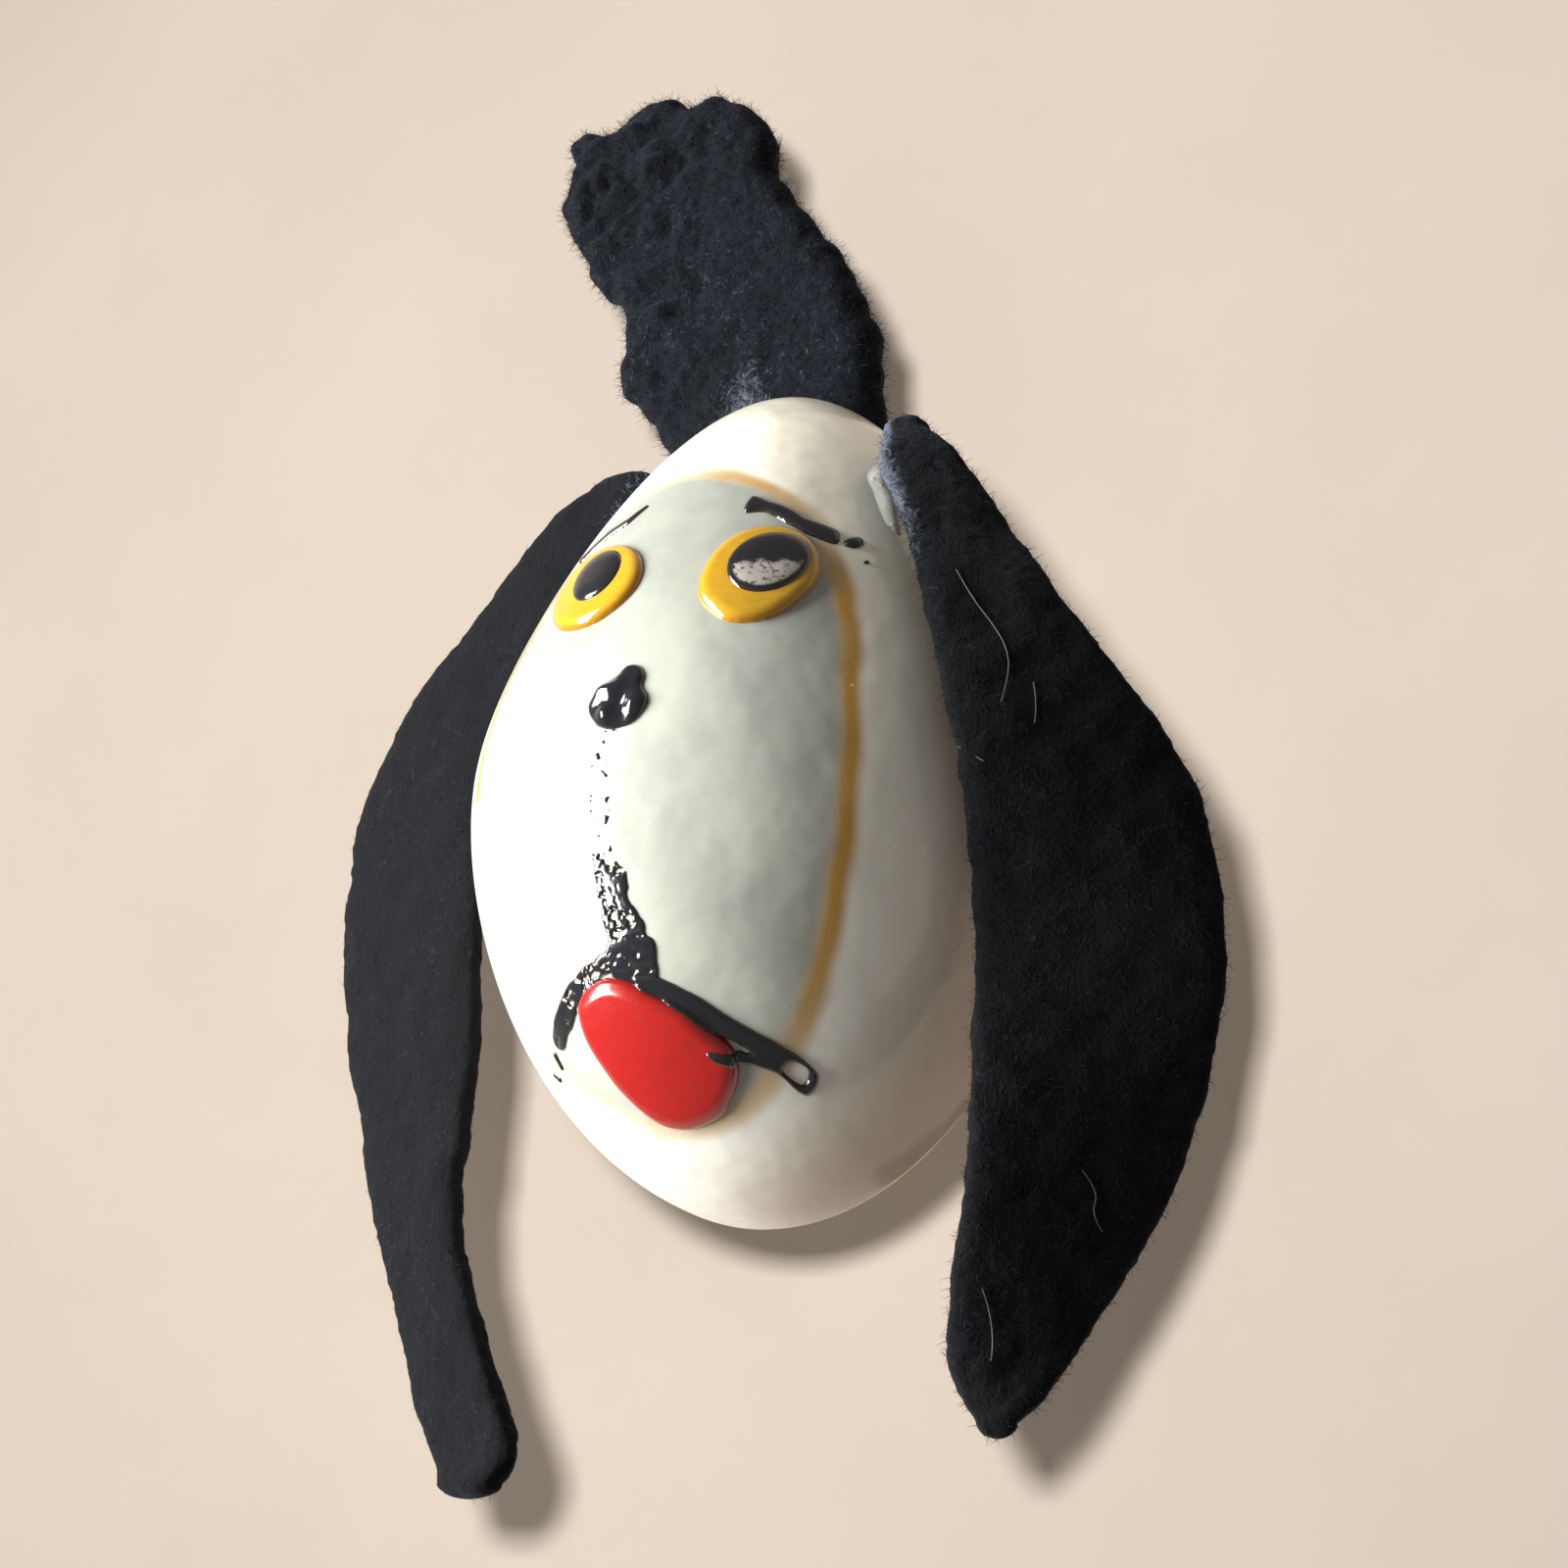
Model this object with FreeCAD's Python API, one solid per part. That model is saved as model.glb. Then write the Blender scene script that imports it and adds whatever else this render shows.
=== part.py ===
import FreeCAD, Part
import math
import os

# A dog's face made from a ring-top cowrie shell, with painted features, two felt ears and a topknot.
# The face looks along -Y and +Z is up. The origin is the middle of the shell's flat side, which
# lies on the plane y = 0, so everything stands in front of that plane. Millimetres.

# ---- driving dimensions -------------------------------------------------------------------------
# shell
shell_length = 25.0
shell_width = 17.4
dorsum_height = 10.1        # from the margin, where the two sides meet, to the top of the back
base_bulge = 2.2            # how far the flat side stands out behind the margin
width_fullness = 1.4        # under 2 gives a lens, 2 gives an ellipse
height_fullness = 1.64
width_taper = 0.18          # how much wider the chin is than the crown
height_taper = 0.216
base_squareness = 2.5       # 2 is an ellipse, more is a flatter underside with fuller edges
waist_round = 0.12          # rounds the outline where it is widest
pole_radius = 1e-6          # keeps the two end points of the shell from dividing by nothing
shell_wall = 1.1
slit_width = 1.1
slit_length = 20.0
slit_bow = 0.8              # the slit curves sideways
tooth_count = 13            # on each lip
tooth_gap = 0.45
tooth_depth = 0.7

# painted and dropped-on features
stroke_film = 0.15
stroke_end_share = 0.55     # how wide a stroke's ends are, as a share of its middle
eye_disc_thickness = 0.4
pupil_thickness = 0.25
nose_thickness = 0.5
tongue_thickness = 0.35

# ears
felt_thickness = 1.0
ear_length_right = 28.2
ear_length_left = 30.0
ear_top_drop_right = 2.8    # from the crown of the shell down to the top of the right ear
ear_top_drop_left = 2.25
ear_hinge_drop = 5.0        # from the top of each ear down to the line where it starts to swing
ear_hinge_gap = 1.2         # felt left out at that line, so that the flap can turn
glue_bead = 0.85            # radius of the bead behind the glued edge of an ear, at its middle
glue_bead_end = 0.51        # and at its two ends
glue_bead_length = 3.4
glue_rings = 5              # cross-sections along the bead
glue_facets = 10            # sides of the bead

# topknot
knot_thickness = 2.0
knot_root_depth = 3.4       # how far it reaches down behind the crown
knot_root_width = 5.6
knot_hinge_rise = 0.75      # bend line above the crown
knot_hinge_gap = 1.2
knot_wall_gap = 0.1         # left between the topknot and the plane y = 0
knot_glue_radius = 1.1

crown = shell_length / 2
margin_y = -base_bulge
cutter_depth = 2 * dorsum_height        # every paint outline is cut as a prism this deep
beyond = shell_width + shell_length     # farther out than any piece reaches


# ---- shell --------------------------------------------------------------------------------------
def fullness(t, power):
    """1 at the middle of the shell and 0 at both ends, with a round waist."""
    soft = waist_round ** power
    reach = (t * t + waist_round ** 2) ** (power / 2)
    end = (1 + waist_round ** 2) ** (power / 2)
    return math.sqrt(max(0.0, 1 - (reach - soft) / (end - soft)))


def half_width(t, grow):
    return (shell_width / 2 + grow) * fullness(t, width_fullness) * (1 - width_taper * t)


def front_height(t, grow):
    return (dorsum_height + grow) * fullness(t, height_fullness) * (1 - height_taper * t)


def back_height(t, grow):
    return (base_bulge + grow) * fullness(t, height_fullness)


def side_x(front, z):
    """Half the shell's width at a height z and a distance in front of the margin."""
    t = z / crown
    share = front / front_height(t, 0)
    return half_width(t, 0) * math.sqrt(max(0.0, 1 - share * share))


def shell_body(grow):
    """The shell's outer form, grown or shrunk evenly, as one solid of two mirrored halves."""
    rings, turns = 28, 24
    half = crown + grow
    rows = []
    for i in range(rings + 1):
        t = math.sin(math.pi * (i / rings - 0.5))
        wide = max(half_width(t, grow), pole_radius)
        row = []
        for j in range(turns + 1):
            angle = math.pi * (j / turns - 0.5)
            behind = angle > 0
            power = base_squareness if behind else 2
            deep = max(back_height(t, grow) if behind else front_height(t, grow), pole_radius)
            across, along = math.cos(angle) / wide, abs(math.sin(angle)) / deep
            radius = (across ** power + along ** power) ** (-1 / power)
            if i in (0, rings):
                radius = 0
            x, y = radius * math.cos(angle), radius * math.sin(angle)
            row.append(FreeCAD.Vector(x, margin_y + y, half * t))
        rows.append(row)
    surface = Part.BSplineSurface()
    surface.interpolate(rows)
    right = surface.toShape()
    left = right.mirror(FreeCAD.Vector(0, 0, 0), FreeCAD.Vector(1, 0, 0))
    skin = Part.Compound([right, left])
    skin.sewShape()
    solid = Part.Solid(skin.Shells[0])
    if solid.Volume < 0:
        solid.reverse()
    return solid


def bar(x0, x1, y0, y1, z0, z1):
    return Part.makeBox(x1 - x0, y1 - y0, z1 - z0, FreeCAD.Vector(x0, y0, z0))


outer = shell_body(0)
depth_cut = base_bulge + shell_wall

# the slit is an arc-sided slot, and the gaps between its teeth are short bars across it
lip = slit_width / 2
half_slit = slit_length / 2
slit_edge = []
for side in (-1, 1):
    low = FreeCAD.Vector(side * lip, -depth_cut, -half_slit)
    middle = FreeCAD.Vector(side * lip + slit_bow, -depth_cut, 0)
    high = FreeCAD.Vector(side * lip, -depth_cut, half_slit)
    slit_edge.append(Part.Arc(low, middle, high).toShape())
ends = []
for k in (0, 1):
    left = slit_edge[0].Vertexes[k].Point
    right = slit_edge[1].Vertexes[k].Point
    ends.append(Part.LineSegment(left, right).toShape())
slit_wire = Part.Wire(Part.__sortEdges__(slit_edge + ends))
slit = Part.Face(slit_wire).extrude(FreeCAD.Vector(0, 2 * depth_cut, 0))
tooth_pitch = slit_length / (tooth_count + 1)
grooves = []
for k in range(tooth_count):
    z = (k + 1) * tooth_pitch - half_slit
    shift = slit_bow * (1 - (z / half_slit) ** 2)
    reach = lip + tooth_depth
    grooves.append(bar(shift - reach, shift + reach, -depth_cut, depth_cut,
                       z - tooth_gap / 2, z + tooth_gap / 2))
cavity = shell_body(-shell_wall)
shell = outer.cut(cavity).cut(slit.multiFuse(grooves))


# ---- paint and enamel ---------------------------------------------------------------------------
def outline_prism(points, smooth):
    """A prism along Y through an outline given as (x, z) points, reaching past the face."""
    far = margin_y - cutter_depth
    corners = [FreeCAD.Vector(x, far, z) for x, z in points]
    if smooth:
        curve = Part.BSplineCurve()
        curve.interpolate(Points=corners, PeriodicFlag=True)
        wire = Part.Wire([curve.toShape()])
    else:
        wire = Part.makePolygon(corners + [corners[0]])
    return Part.Face(wire).extrude(FreeCAD.Vector(0, cutter_depth, 0))


def oval_prism(x, z, half_x, half_z):
    far = margin_y - cutter_depth
    wide = max(half_x, half_z)
    along = FreeCAD.Vector(1, 0, 0) if half_x >= half_z else FreeCAD.Vector(0, 0, 1)
    centre = FreeCAD.Vector(x, far, z)
    across = along.cross(FreeCAD.Vector(0, 1, 0))
    curve = Part.Ellipse(centre + along * wide, centre + across * min(half_x, half_z), centre)
    face = Part.Face(Part.Wire([curve.toShape()]))
    return face.extrude(FreeCAD.Vector(0, cutter_depth, 0))


def laid_on(prism, low, high):
    """The part of a prism between two layers over the shell, both given as heights above it."""
    under = outer if low == 0 else shell_body(low)
    return shell_body(high).common(prism).cut(under)


def stroke_prism(centre_line, width):
    """A painted stroke of even width along a few (x, z) points, with tapered ends."""
    left, right = [], []
    last = len(centre_line) - 1
    for i, (x, z) in enumerate(centre_line):
        x0, z0 = centre_line[max(i - 1, 0)]
        x1, z1 = centre_line[min(i + 1, last)]
        run = math.hypot(x1 - x0, z1 - z0)
        across = width / 2 * (stroke_end_share if i in (0, last) else 1)
        nx, nz = -(z1 - z0) / run * across, (x1 - x0) / run * across
        left.append((x + nx, z + nz))
        right.append((x - nx, z - nz))
    return outline_prism(left + right[::-1], False)


def dots(places):
    """Round specks of paint, each given as (x, z, radius)."""
    far = margin_y - cutter_depth
    along_y = FreeCAD.Vector(0, 1, 0)
    rods = []
    for x, z, radius in places:
        rods.append(Part.makeCylinder(radius, cutter_depth, FreeCAD.Vector(x, far, z), along_y))
    return Part.makeCompound(rods)


# each eye: centre x and z, half width and half height, of the yellow disc and of the pupil
eyes = {
    "right": ((2.93, 3.88, 1.36, 1.64), (3.30, 4.02, 0.90, 1.00)),
    "left": ((-2.10, 3.98, 1.75, 1.38), (-1.70, 4.12, 0.83, 0.86)),
}
nose_outline = [(0.22, 0.85), (0.70, 0.62), (0.80, 0.12), (0.94, -0.32), (0.70, -0.82),
                (0.18, -0.98), (-0.40, -0.84), (-0.78, -0.42), (-0.75, 0.02), (-0.38, 0.50)]
tongue_outline = [(-1.68, -7.68), (-1.03, -7.36), (-0.28, -7.35), (0.52, -7.71), (1.33, -8.13),
                  (1.86, -8.60), (2.26, -9.01), (2.25, -9.51), (1.86, -10.10), (1.31, -10.55),
                  (0.41, -10.80), (-0.31, -10.70), (-0.87, -10.31), (-1.37, -9.63),
                  (-1.76, -8.82), (-1.87, -8.19)]
brow_right_outline = [(1.94, 6.75), (1.95, 6.16), (2.46, 6.28), (3.22, 5.82), (4.24, 5.37),
                      (4.22, 5.75), (3.66, 6.06), (2.95, 6.46), (2.43, 6.67)]
brow_right_dot = (4.65, 5.45, 0.17)
brow_left_line = [(-1.37, 6.92), (-2.30, 6.60), (-3.07, 6.36), (-3.60, 6.20)]
brow_left_width = 0.35
muzzle_line = [(-0.10, -1.20), (-0.45, -1.90), (-0.30, -2.80), (-0.50, -3.60), (-0.35, -4.60),
               (-0.05, -5.60), (0.05, -6.60)]
muzzle_width = 0.6
mouth_left_line = [(-0.80, -7.05), (-1.45, -7.36), (-2.25, -7.76), (-2.85, -8.20), (-3.30, -8.50)]
mouth_left_width = 0.5
mouth_left_dots = [(-3.64, -8.77, 0.14), (-4.00, -9.11, 0.14)]
mouth_right_outline = [(0.62, -7.42), (1.84, -8.00), (2.59, -8.53), (3.28, -8.94), (3.75, -9.29),
                       (3.83, -9.62), (3.55, -9.95), (3.28, -9.91), (3.10, -9.53), (2.57, -9.33),
                       (2.20, -9.18), (1.86, -8.70), (0.92, -7.86)]

nodes = {"shell": shell}
for side, (disc, pupil) in eyes.items():
    top = eye_disc_thickness
    nodes["eye_disc_" + side] = laid_on(oval_prism(*disc), 0, top)
    nodes["pupil_" + side] = laid_on(oval_prism(*pupil), top, top + pupil_thickness)
nodes["nose"] = laid_on(outline_prism(nose_outline, True), 0, nose_thickness)
nodes["tongue"] = laid_on(outline_prism(tongue_outline, True), 0, tongue_thickness)

strokes = {
    "brow_right": [outline_prism(brow_right_outline, False), dots([brow_right_dot])],
    "brow_left": [stroke_prism(brow_left_line, brow_left_width)],
    "muzzle_line": [stroke_prism(muzzle_line, muzzle_width)],
    "mouth_stroke_left": [stroke_prism(mouth_left_line, mouth_left_width), dots(mouth_left_dots)],
    "mouth_stroke_right": [outline_prism(mouth_right_outline, False)],
}
for name, prisms in strokes.items():
    film = laid_on(Part.makeCompound(prisms), 0, stroke_film)
    nodes[name] = film.cut(nodes["tongue"])

# ---- ears ---------------------------------------------------------------------------------------
# Each row is one level of an ear, from its top to its tip: how far down it is, how far its inner
# edge is in front of the margin, how far that edge stands off the shell's side, the blade's width
# there, and how many degrees the blade is swept back. The last row's drop is the length that the
# rows were measured on, and they are stretched to the ear's own length.
ear_levels_right = [
    (0.0, 3.3, 1.25, 1.3, 0), (0.6, 3.8, 1.14, 1.9, 5), (1.7, 4.5, 1.00, 2.6, 24),
    (3.7, 5.0, 0.96, 3.0, 31), (5.7, 5.6, 0.91, 3.7, 28), (7.7, 6.0, 0.96, 4.7, 34),
    (9.7, 6.2, 0.98, 6.0, 38), (11.7, 5.7, 0.88, 6.7, 37), (13.7, 4.9, 0.93, 6.7, 33),
    (15.7, 4.2, 0.78, 6.7, 30), (17.7, 4.3, 0.83, 6.6, 35), (19.7, 4.6, 0.93, 6.4, 41),
    (21.7, 4.5, 0.81, 5.8, 43), (23.7, 4.3, 0.52, 5.0, 43), (25.7, 3.8, 0.10, 3.8, 41),
    (27.0, 3.3, -0.07, 2.8, 30), (27.8, 2.9, 0.20, 1.9, 20), (28.2, 2.8, 0.45, 1.1, 20),
]
ear_levels_left = [
    (0.0, 1.5, 0.75, 2.4, 8), (0.5, 1.5, 0.75, 3.2, 8), (1.2, 1.5, 0.75, 3.4, 9),
    (2.2, 1.5, 0.75, 3.6, 10), (3.6, 1.5, 0.75, 4.2, 12), (5.2, 1.5, 0.75, 5.2, 13),
    (7.0, 1.5, 0.75, 5.7, 14), (9.0, 1.5, 0.75, 5.8, 14), (11.0, 1.5, 0.75, 6.0, 16),
    (13.0, 1.5, 0.75, 6.3, 16), (15.0, 1.5, 0.75, 6.1, 18), (17.0, 1.5, 0.70, 5.8, 18),
    (19.0, 1.5, 0.90, 4.9, 20), (21.0, 1.7, 0.86, 4.1, 20), (23.0, 1.9, 0.46, 3.6, 21),
    (25.0, 2.2, -0.27, 3.4, 21), (27.0, 2.4, -1.19, 3.6, 21), (28.6, 2.5, -2.02, 3.8, 22),
    (29.5, 2.6, -2.14, 3.2, 22), (30.0, 2.7, -1.58, 2.2, 22),
]
hang_z = -2.0               # below this the ears hang straight instead of following the shell
hang_front_right = 5.7      # how far in front of the margin the inner edge is there
hang_front_left = 1.5

# each ear: which side it is on, its length, the height of its top, its levels, its hanging edge
ears = {
    "right": (1, ear_length_right, crown - ear_top_drop_right, ear_levels_right, hang_front_right),
    "left": (-1, ear_length_left, crown - ear_top_drop_left, ear_levels_left, hang_front_left),
}


def ear_level(ear, level):
    """The inner edge, the outward direction and the width of an ear at one level."""
    side, length, top, levels, hang_front = ear
    drop, front, stand_off, width, sweep = level
    z = top - drop * length / levels[-1][0]
    inner_front = front if z > hang_z else hang_front
    x = side_x(inner_front, max(z, hang_z)) + stand_off
    turn = math.radians(sweep)
    inner = FreeCAD.Vector(side * x, margin_y - front, z)
    outward = FreeCAD.Vector(side * math.cos(turn), math.sin(turn), 0)
    return inner, outward, width


def ear_blade(ear):
    wires = []
    for level in ear[3]:
        inner, outward, width = ear_level(ear, level)
        across = FreeCAD.Vector(-outward.y, outward.x, 0) * (felt_thickness / 2)
        tip = inner + outward * width
        corners = [inner - across, tip - across, tip + across, inner + across]
        wires.append(Part.makePolygon(corners + [corners[0]]))
    blade = Part.makeLoft(wires, True, False)
    if blade.Volume < 0:
        blade.reverse()
    return blade


def level_at(levels, drop):
    """An ear's level at any drop, worked out from the two nearest rows."""
    upper = [row for row in levels if row[0] <= drop][-1]
    lower = [row for row in levels if row[0] > drop][0]
    share = (drop - upper[0]) / (lower[0] - upper[0])
    return [a + (b - a) * share for a, b in zip(upper, lower)]


for name, ear in ears.items():
    side, length, top, levels, hang_front = ear
    blade = ear_blade(ear).cut(outer)
    hinge_z = top - ear_hinge_drop
    upper = bar(-beyond, beyond, -beyond, beyond, hinge_z + ear_hinge_gap / 2, beyond)
    lower = bar(-beyond, beyond, -beyond, beyond, -2 * beyond, hinge_z - ear_hinge_gap / 2)
    root = blade.common(upper)
    nodes["ear_root_" + name] = root
    nodes["ear_flap_" + name] = blade.common(lower)

    rings = []
    bead_top = top - (ear_hinge_drop - ear_hinge_gap / 2 - glue_bead_length) / 2
    for k in range(glue_rings):
        share = k / (glue_rings - 1)
        z = bead_top - glue_bead_length * share
        drop = (top - z) * levels[-1][0] / length
        inner, outward, width = ear_level(ear, level_at(levels, drop))
        radius = glue_bead_end + (glue_bead - glue_bead_end) * math.sin(math.pi * share)
        backward = FreeCAD.Vector(-side * outward.y, side * outward.x, 0)
        centre = FreeCAD.Vector(inner.x, inner.y, z) + backward * (felt_thickness / 2)
        ring = []
        for step in range(glue_facets + 1):
            turn = 2 * math.pi * step / glue_facets
            ring.append(centre + FreeCAD.Vector(math.cos(turn), math.sin(turn), 0) * radius)
        rings.append(Part.makePolygon(ring))
    bead = Part.makeLoft(rings, True, True)
    nodes["ear_glue_" + name] = bead.cut(outer).cut(root)

# ---- topknot ------------------------------------------------------------------------------------
# The outline above the crown, as (x, height above the crown): lumpy on one side, smooth on the other.
knot_left = [(-5.5, -0.1), (-6.2, 1.1), (-7.0, 2.2), (-7.0, 4.3), (-7.5, 5.2), (-8.4, 6.4),
             (-9.3, 7.8), (-9.5, 9.0), (-9.3, 10.9), (-8.2, 11.3), (-6.4, 12.0)]
knot_right = [(-4.2, 11.9), (-3.0, 11.2), (-2.1, 9.9), (-1.6, 8.2), (-0.1, 5.9), (1.1, 4.0),
              (1.7, 2.0), (2.2, -0.4)]
knot_root_centre = -0.9
root_left = (knot_root_centre - knot_root_width / 2, -knot_root_depth)
root_right = (knot_root_centre + knot_root_width / 2, -knot_root_depth)
knot_outline = knot_left + knot_right + [root_right, root_left]
corners = [FreeCAD.Vector(x, -knot_wall_gap, crown + rise) for x, rise in knot_outline]
slab = Part.Face(Part.makePolygon(corners + [corners[0]])).extrude(
    FreeCAD.Vector(0, -knot_thickness, 0))
knot_hinge_z = crown + knot_hinge_rise
below = bar(-beyond, beyond, -beyond, beyond, -beyond, knot_hinge_z - knot_hinge_gap / 2)
above = bar(-beyond, beyond, -beyond, beyond, knot_hinge_z + knot_hinge_gap / 2, 2 * beyond)
knot_root = slab.common(below).cut(outer)
nodes["topknot_root"] = knot_root
nodes["topknot"] = slab.common(above)

knot_front = -knot_wall_gap - knot_thickness
glue_centre = FreeCAD.Vector(knot_root_centre, knot_front, crown - knot_glue_radius / 2)
glue_ball = Part.makeSphere(knot_glue_radius, glue_centre)
nodes["topknot_glue"] = glue_ball.cut(outer).cut(knot_root).common(below)

os.makedirs("parts", exist_ok=True)
for name, shape in nodes.items():
    shape.exportStep("parts/" + name + ".step")
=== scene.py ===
import math
import bpy
import numpy as np
from mathutils import Matrix, Vector, noise
from mathutils.bvhtree import BVHTree


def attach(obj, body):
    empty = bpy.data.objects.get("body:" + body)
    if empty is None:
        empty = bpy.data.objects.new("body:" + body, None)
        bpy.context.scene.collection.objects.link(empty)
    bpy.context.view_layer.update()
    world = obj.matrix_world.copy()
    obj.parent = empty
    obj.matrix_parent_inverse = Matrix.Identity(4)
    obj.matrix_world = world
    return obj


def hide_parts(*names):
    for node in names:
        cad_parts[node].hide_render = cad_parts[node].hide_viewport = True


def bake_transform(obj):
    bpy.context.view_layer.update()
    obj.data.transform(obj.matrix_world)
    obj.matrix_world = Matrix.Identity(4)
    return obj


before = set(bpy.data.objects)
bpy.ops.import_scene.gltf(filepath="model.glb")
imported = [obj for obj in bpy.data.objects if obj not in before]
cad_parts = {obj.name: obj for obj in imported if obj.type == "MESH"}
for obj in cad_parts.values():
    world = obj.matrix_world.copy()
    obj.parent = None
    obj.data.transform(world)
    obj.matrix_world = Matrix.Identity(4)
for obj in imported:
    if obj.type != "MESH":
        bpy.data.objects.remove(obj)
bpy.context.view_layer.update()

# ---- cowrie shell -------------------------------------------------------------------------------
# The head is one real ring-top cowrie, smooth as glazed china. Its domed back is the face, and its
# flat side, with the toothed slit, is behind. Sizes are in millimetres until the points are written.
mm = 0.001
shell_length, shell_width = 25.0, 17.4
dorsum_height, base_bulge = 10.1, 2.2
width_fullness, height_fullness, base_squareness = 1.4, 1.64, 2.5
width_taper, height_taper, waist_round = 0.18, 0.216, 0.12
slit_bow, slit_half_length, tooth_pitch = 0.8, 10.0, 20 / 14
crown, margin_y = shell_length / 2, -base_bulge


def feed(node, sockets):
    """Fills a node's inputs. Each one takes a plain value or another node's output."""
    for key, value in sockets.items():
        if isinstance(value, bpy.types.NodeSocket):
            node.id_data.links.new(value, node.inputs[key])
        else:
            node.inputs[key].default_value = value


def add(tree, kind, sockets=None, **settings):
    """Adds a node with its settings and inputs."""
    node = tree.nodes.new(kind)
    for key, value in settings.items():
        setattr(node, key, value)
    feed(node, sockets or {})
    return node


def put(sign, *values):
    """A sum in a node tree, of plain numbers and other nodes' outputs."""
    signs = {"+": "ADD", "-": "SUBTRACT", "*": "MULTIPLY", "/": "DIVIDE", "^": "POWER"}
    tree = next(value.id_data for value in values if isinstance(value, bpy.types.NodeSocket))
    sockets = dict(enumerate(values))
    return add(tree, "ShaderNodeMath", sockets, operation=signs.get(sign, sign)).outputs[0]


def scaled(vector, size):
    """A vector times a number, or times another vector part by part."""
    key, operation = (1, "MULTIPLY") if isinstance(size, tuple) else ("Scale", "SCALE")
    sockets = {0: vector, key: size}
    return add(vector.id_data, "ShaderNodeVectorMath", sockets, operation=operation).outputs[0]


def parts(vector):
    """The x, y and z of a vector."""
    return add(vector.id_data, "ShaderNodeSeparateXYZ", {0: vector}).outputs


def in_scene(name, data):
    """A new object at the origin."""
    piece = bpy.data.objects.new(name, data)
    bpy.context.scene.collection.objects.link(piece)
    return piece


def plain_mesh(piece):
    """What a piece looks like with its modifiers or curve bevel worked out, as a mesh."""
    graph = bpy.context.evaluated_depsgraph_get()
    return bpy.data.meshes.new_from_object(piece.evaluated_get(graph), depsgraph=graph)


def socket_list(tree, in_out, **sockets):
    """Gives a node group its named inputs or outputs."""
    for label, kind in sockets.items():
        label = label.replace("_", " ")
        tree.interface.new_socket(label, in_out=in_out, socket_type="NodeSocket" + kind)


def making_tree(name, sizes):
    """An empty geometry tree with named inputs for its sizes."""
    tree = bpy.data.node_groups.new(name, "GeometryNodeTree")
    tree.interface.new_socket("Geometry", in_out="INPUT", socket_type="NodeSocketGeometry")
    for label, value in sizes.items():
        kind = "NodeSocketInt" if isinstance(value, int) else "NodeSocketFloat"
        tree.interface.new_socket(label, in_out="INPUT", socket_type=kind).default_value = value
    tree.interface.new_socket("Geometry", in_out="OUTPUT", socket_type="NodeSocketGeometry")
    given = tree.nodes.new("NodeGroupInput").outputs
    return tree, given, tree.nodes.new("NodeGroupOutput").inputs[0]


def worked_out(name, tree, start=None, **sizes):
    """Runs a geometry tree once, on a copy of start if given, and keeps the result as a mesh."""
    piece = in_scene(name, start.copy() if start else bpy.data.meshes.new(name))
    making = piece.modifiers.new("making", "NODES")
    making.node_group = tree
    for item in tree.interface.items_tree:
        key = item.name.lower().replace(" ", "_")
        if item.in_out == "INPUT" and key in sizes:
            making[item.identifier] = sizes[key]
    made = plain_mesh(piece)
    piece.modifiers.clear()
    piece.data = made
    made.name = name
    return piece


def place_in(tree):
    """The piece's own coordinates, in millimetres."""
    return scaled(add(tree, "ShaderNodeTexCoord").outputs["Object"], 1 / mm)


def relief(height, strength, distance):
    sockets = {"Height": height, "Strength": strength, "Distance": distance}
    return add(height.id_data, "ShaderNodeBump", sockets).outputs[0]


def new_finish(name):
    """A material with one Principled shader, its own millimetre coordinates, and its tree."""
    material = bpy.data.materials.new(name)
    material.use_nodes = True
    tree = material.node_tree
    tree.nodes.clear()
    shader = tree.nodes.new("ShaderNodeBsdfPrincipled")
    add(tree, "ShaderNodeOutputMaterial", {"Surface": shader.outputs[0]})
    return material, tree, shader, place_in(tree)


def fade(value, start, end):
    """0 before start, 1 after end and smooth between them; start may be the larger one."""
    sockets = {"Value": value, "From Min": start, "From Max": end}
    return add(value.id_data, "ShaderNodeMapRange", sockets, interpolation_type="SMOOTHSTEP").outputs[0]


def tint(share, first, second):
    """Mixes two colours, each a plain colour or another node's output."""
    colours = [(*c, 1) if isinstance(c, tuple) else c for c in (first, second)]
    sockets = {0: share, 6: colours[0], 7: colours[1]}
    return add(share.id_data, "ShaderNodeMix", sockets, data_type="RGBA").outputs[2]


def mottle(place, scale, detail=3.0, roughness=0.5):
    sockets = {"Vector": place, "Scale": scale, "Detail": detail, "Roughness": roughness}
    return add(place.id_data, "ShaderNodeTexNoise", sockets).outputs["Fac"]


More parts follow.
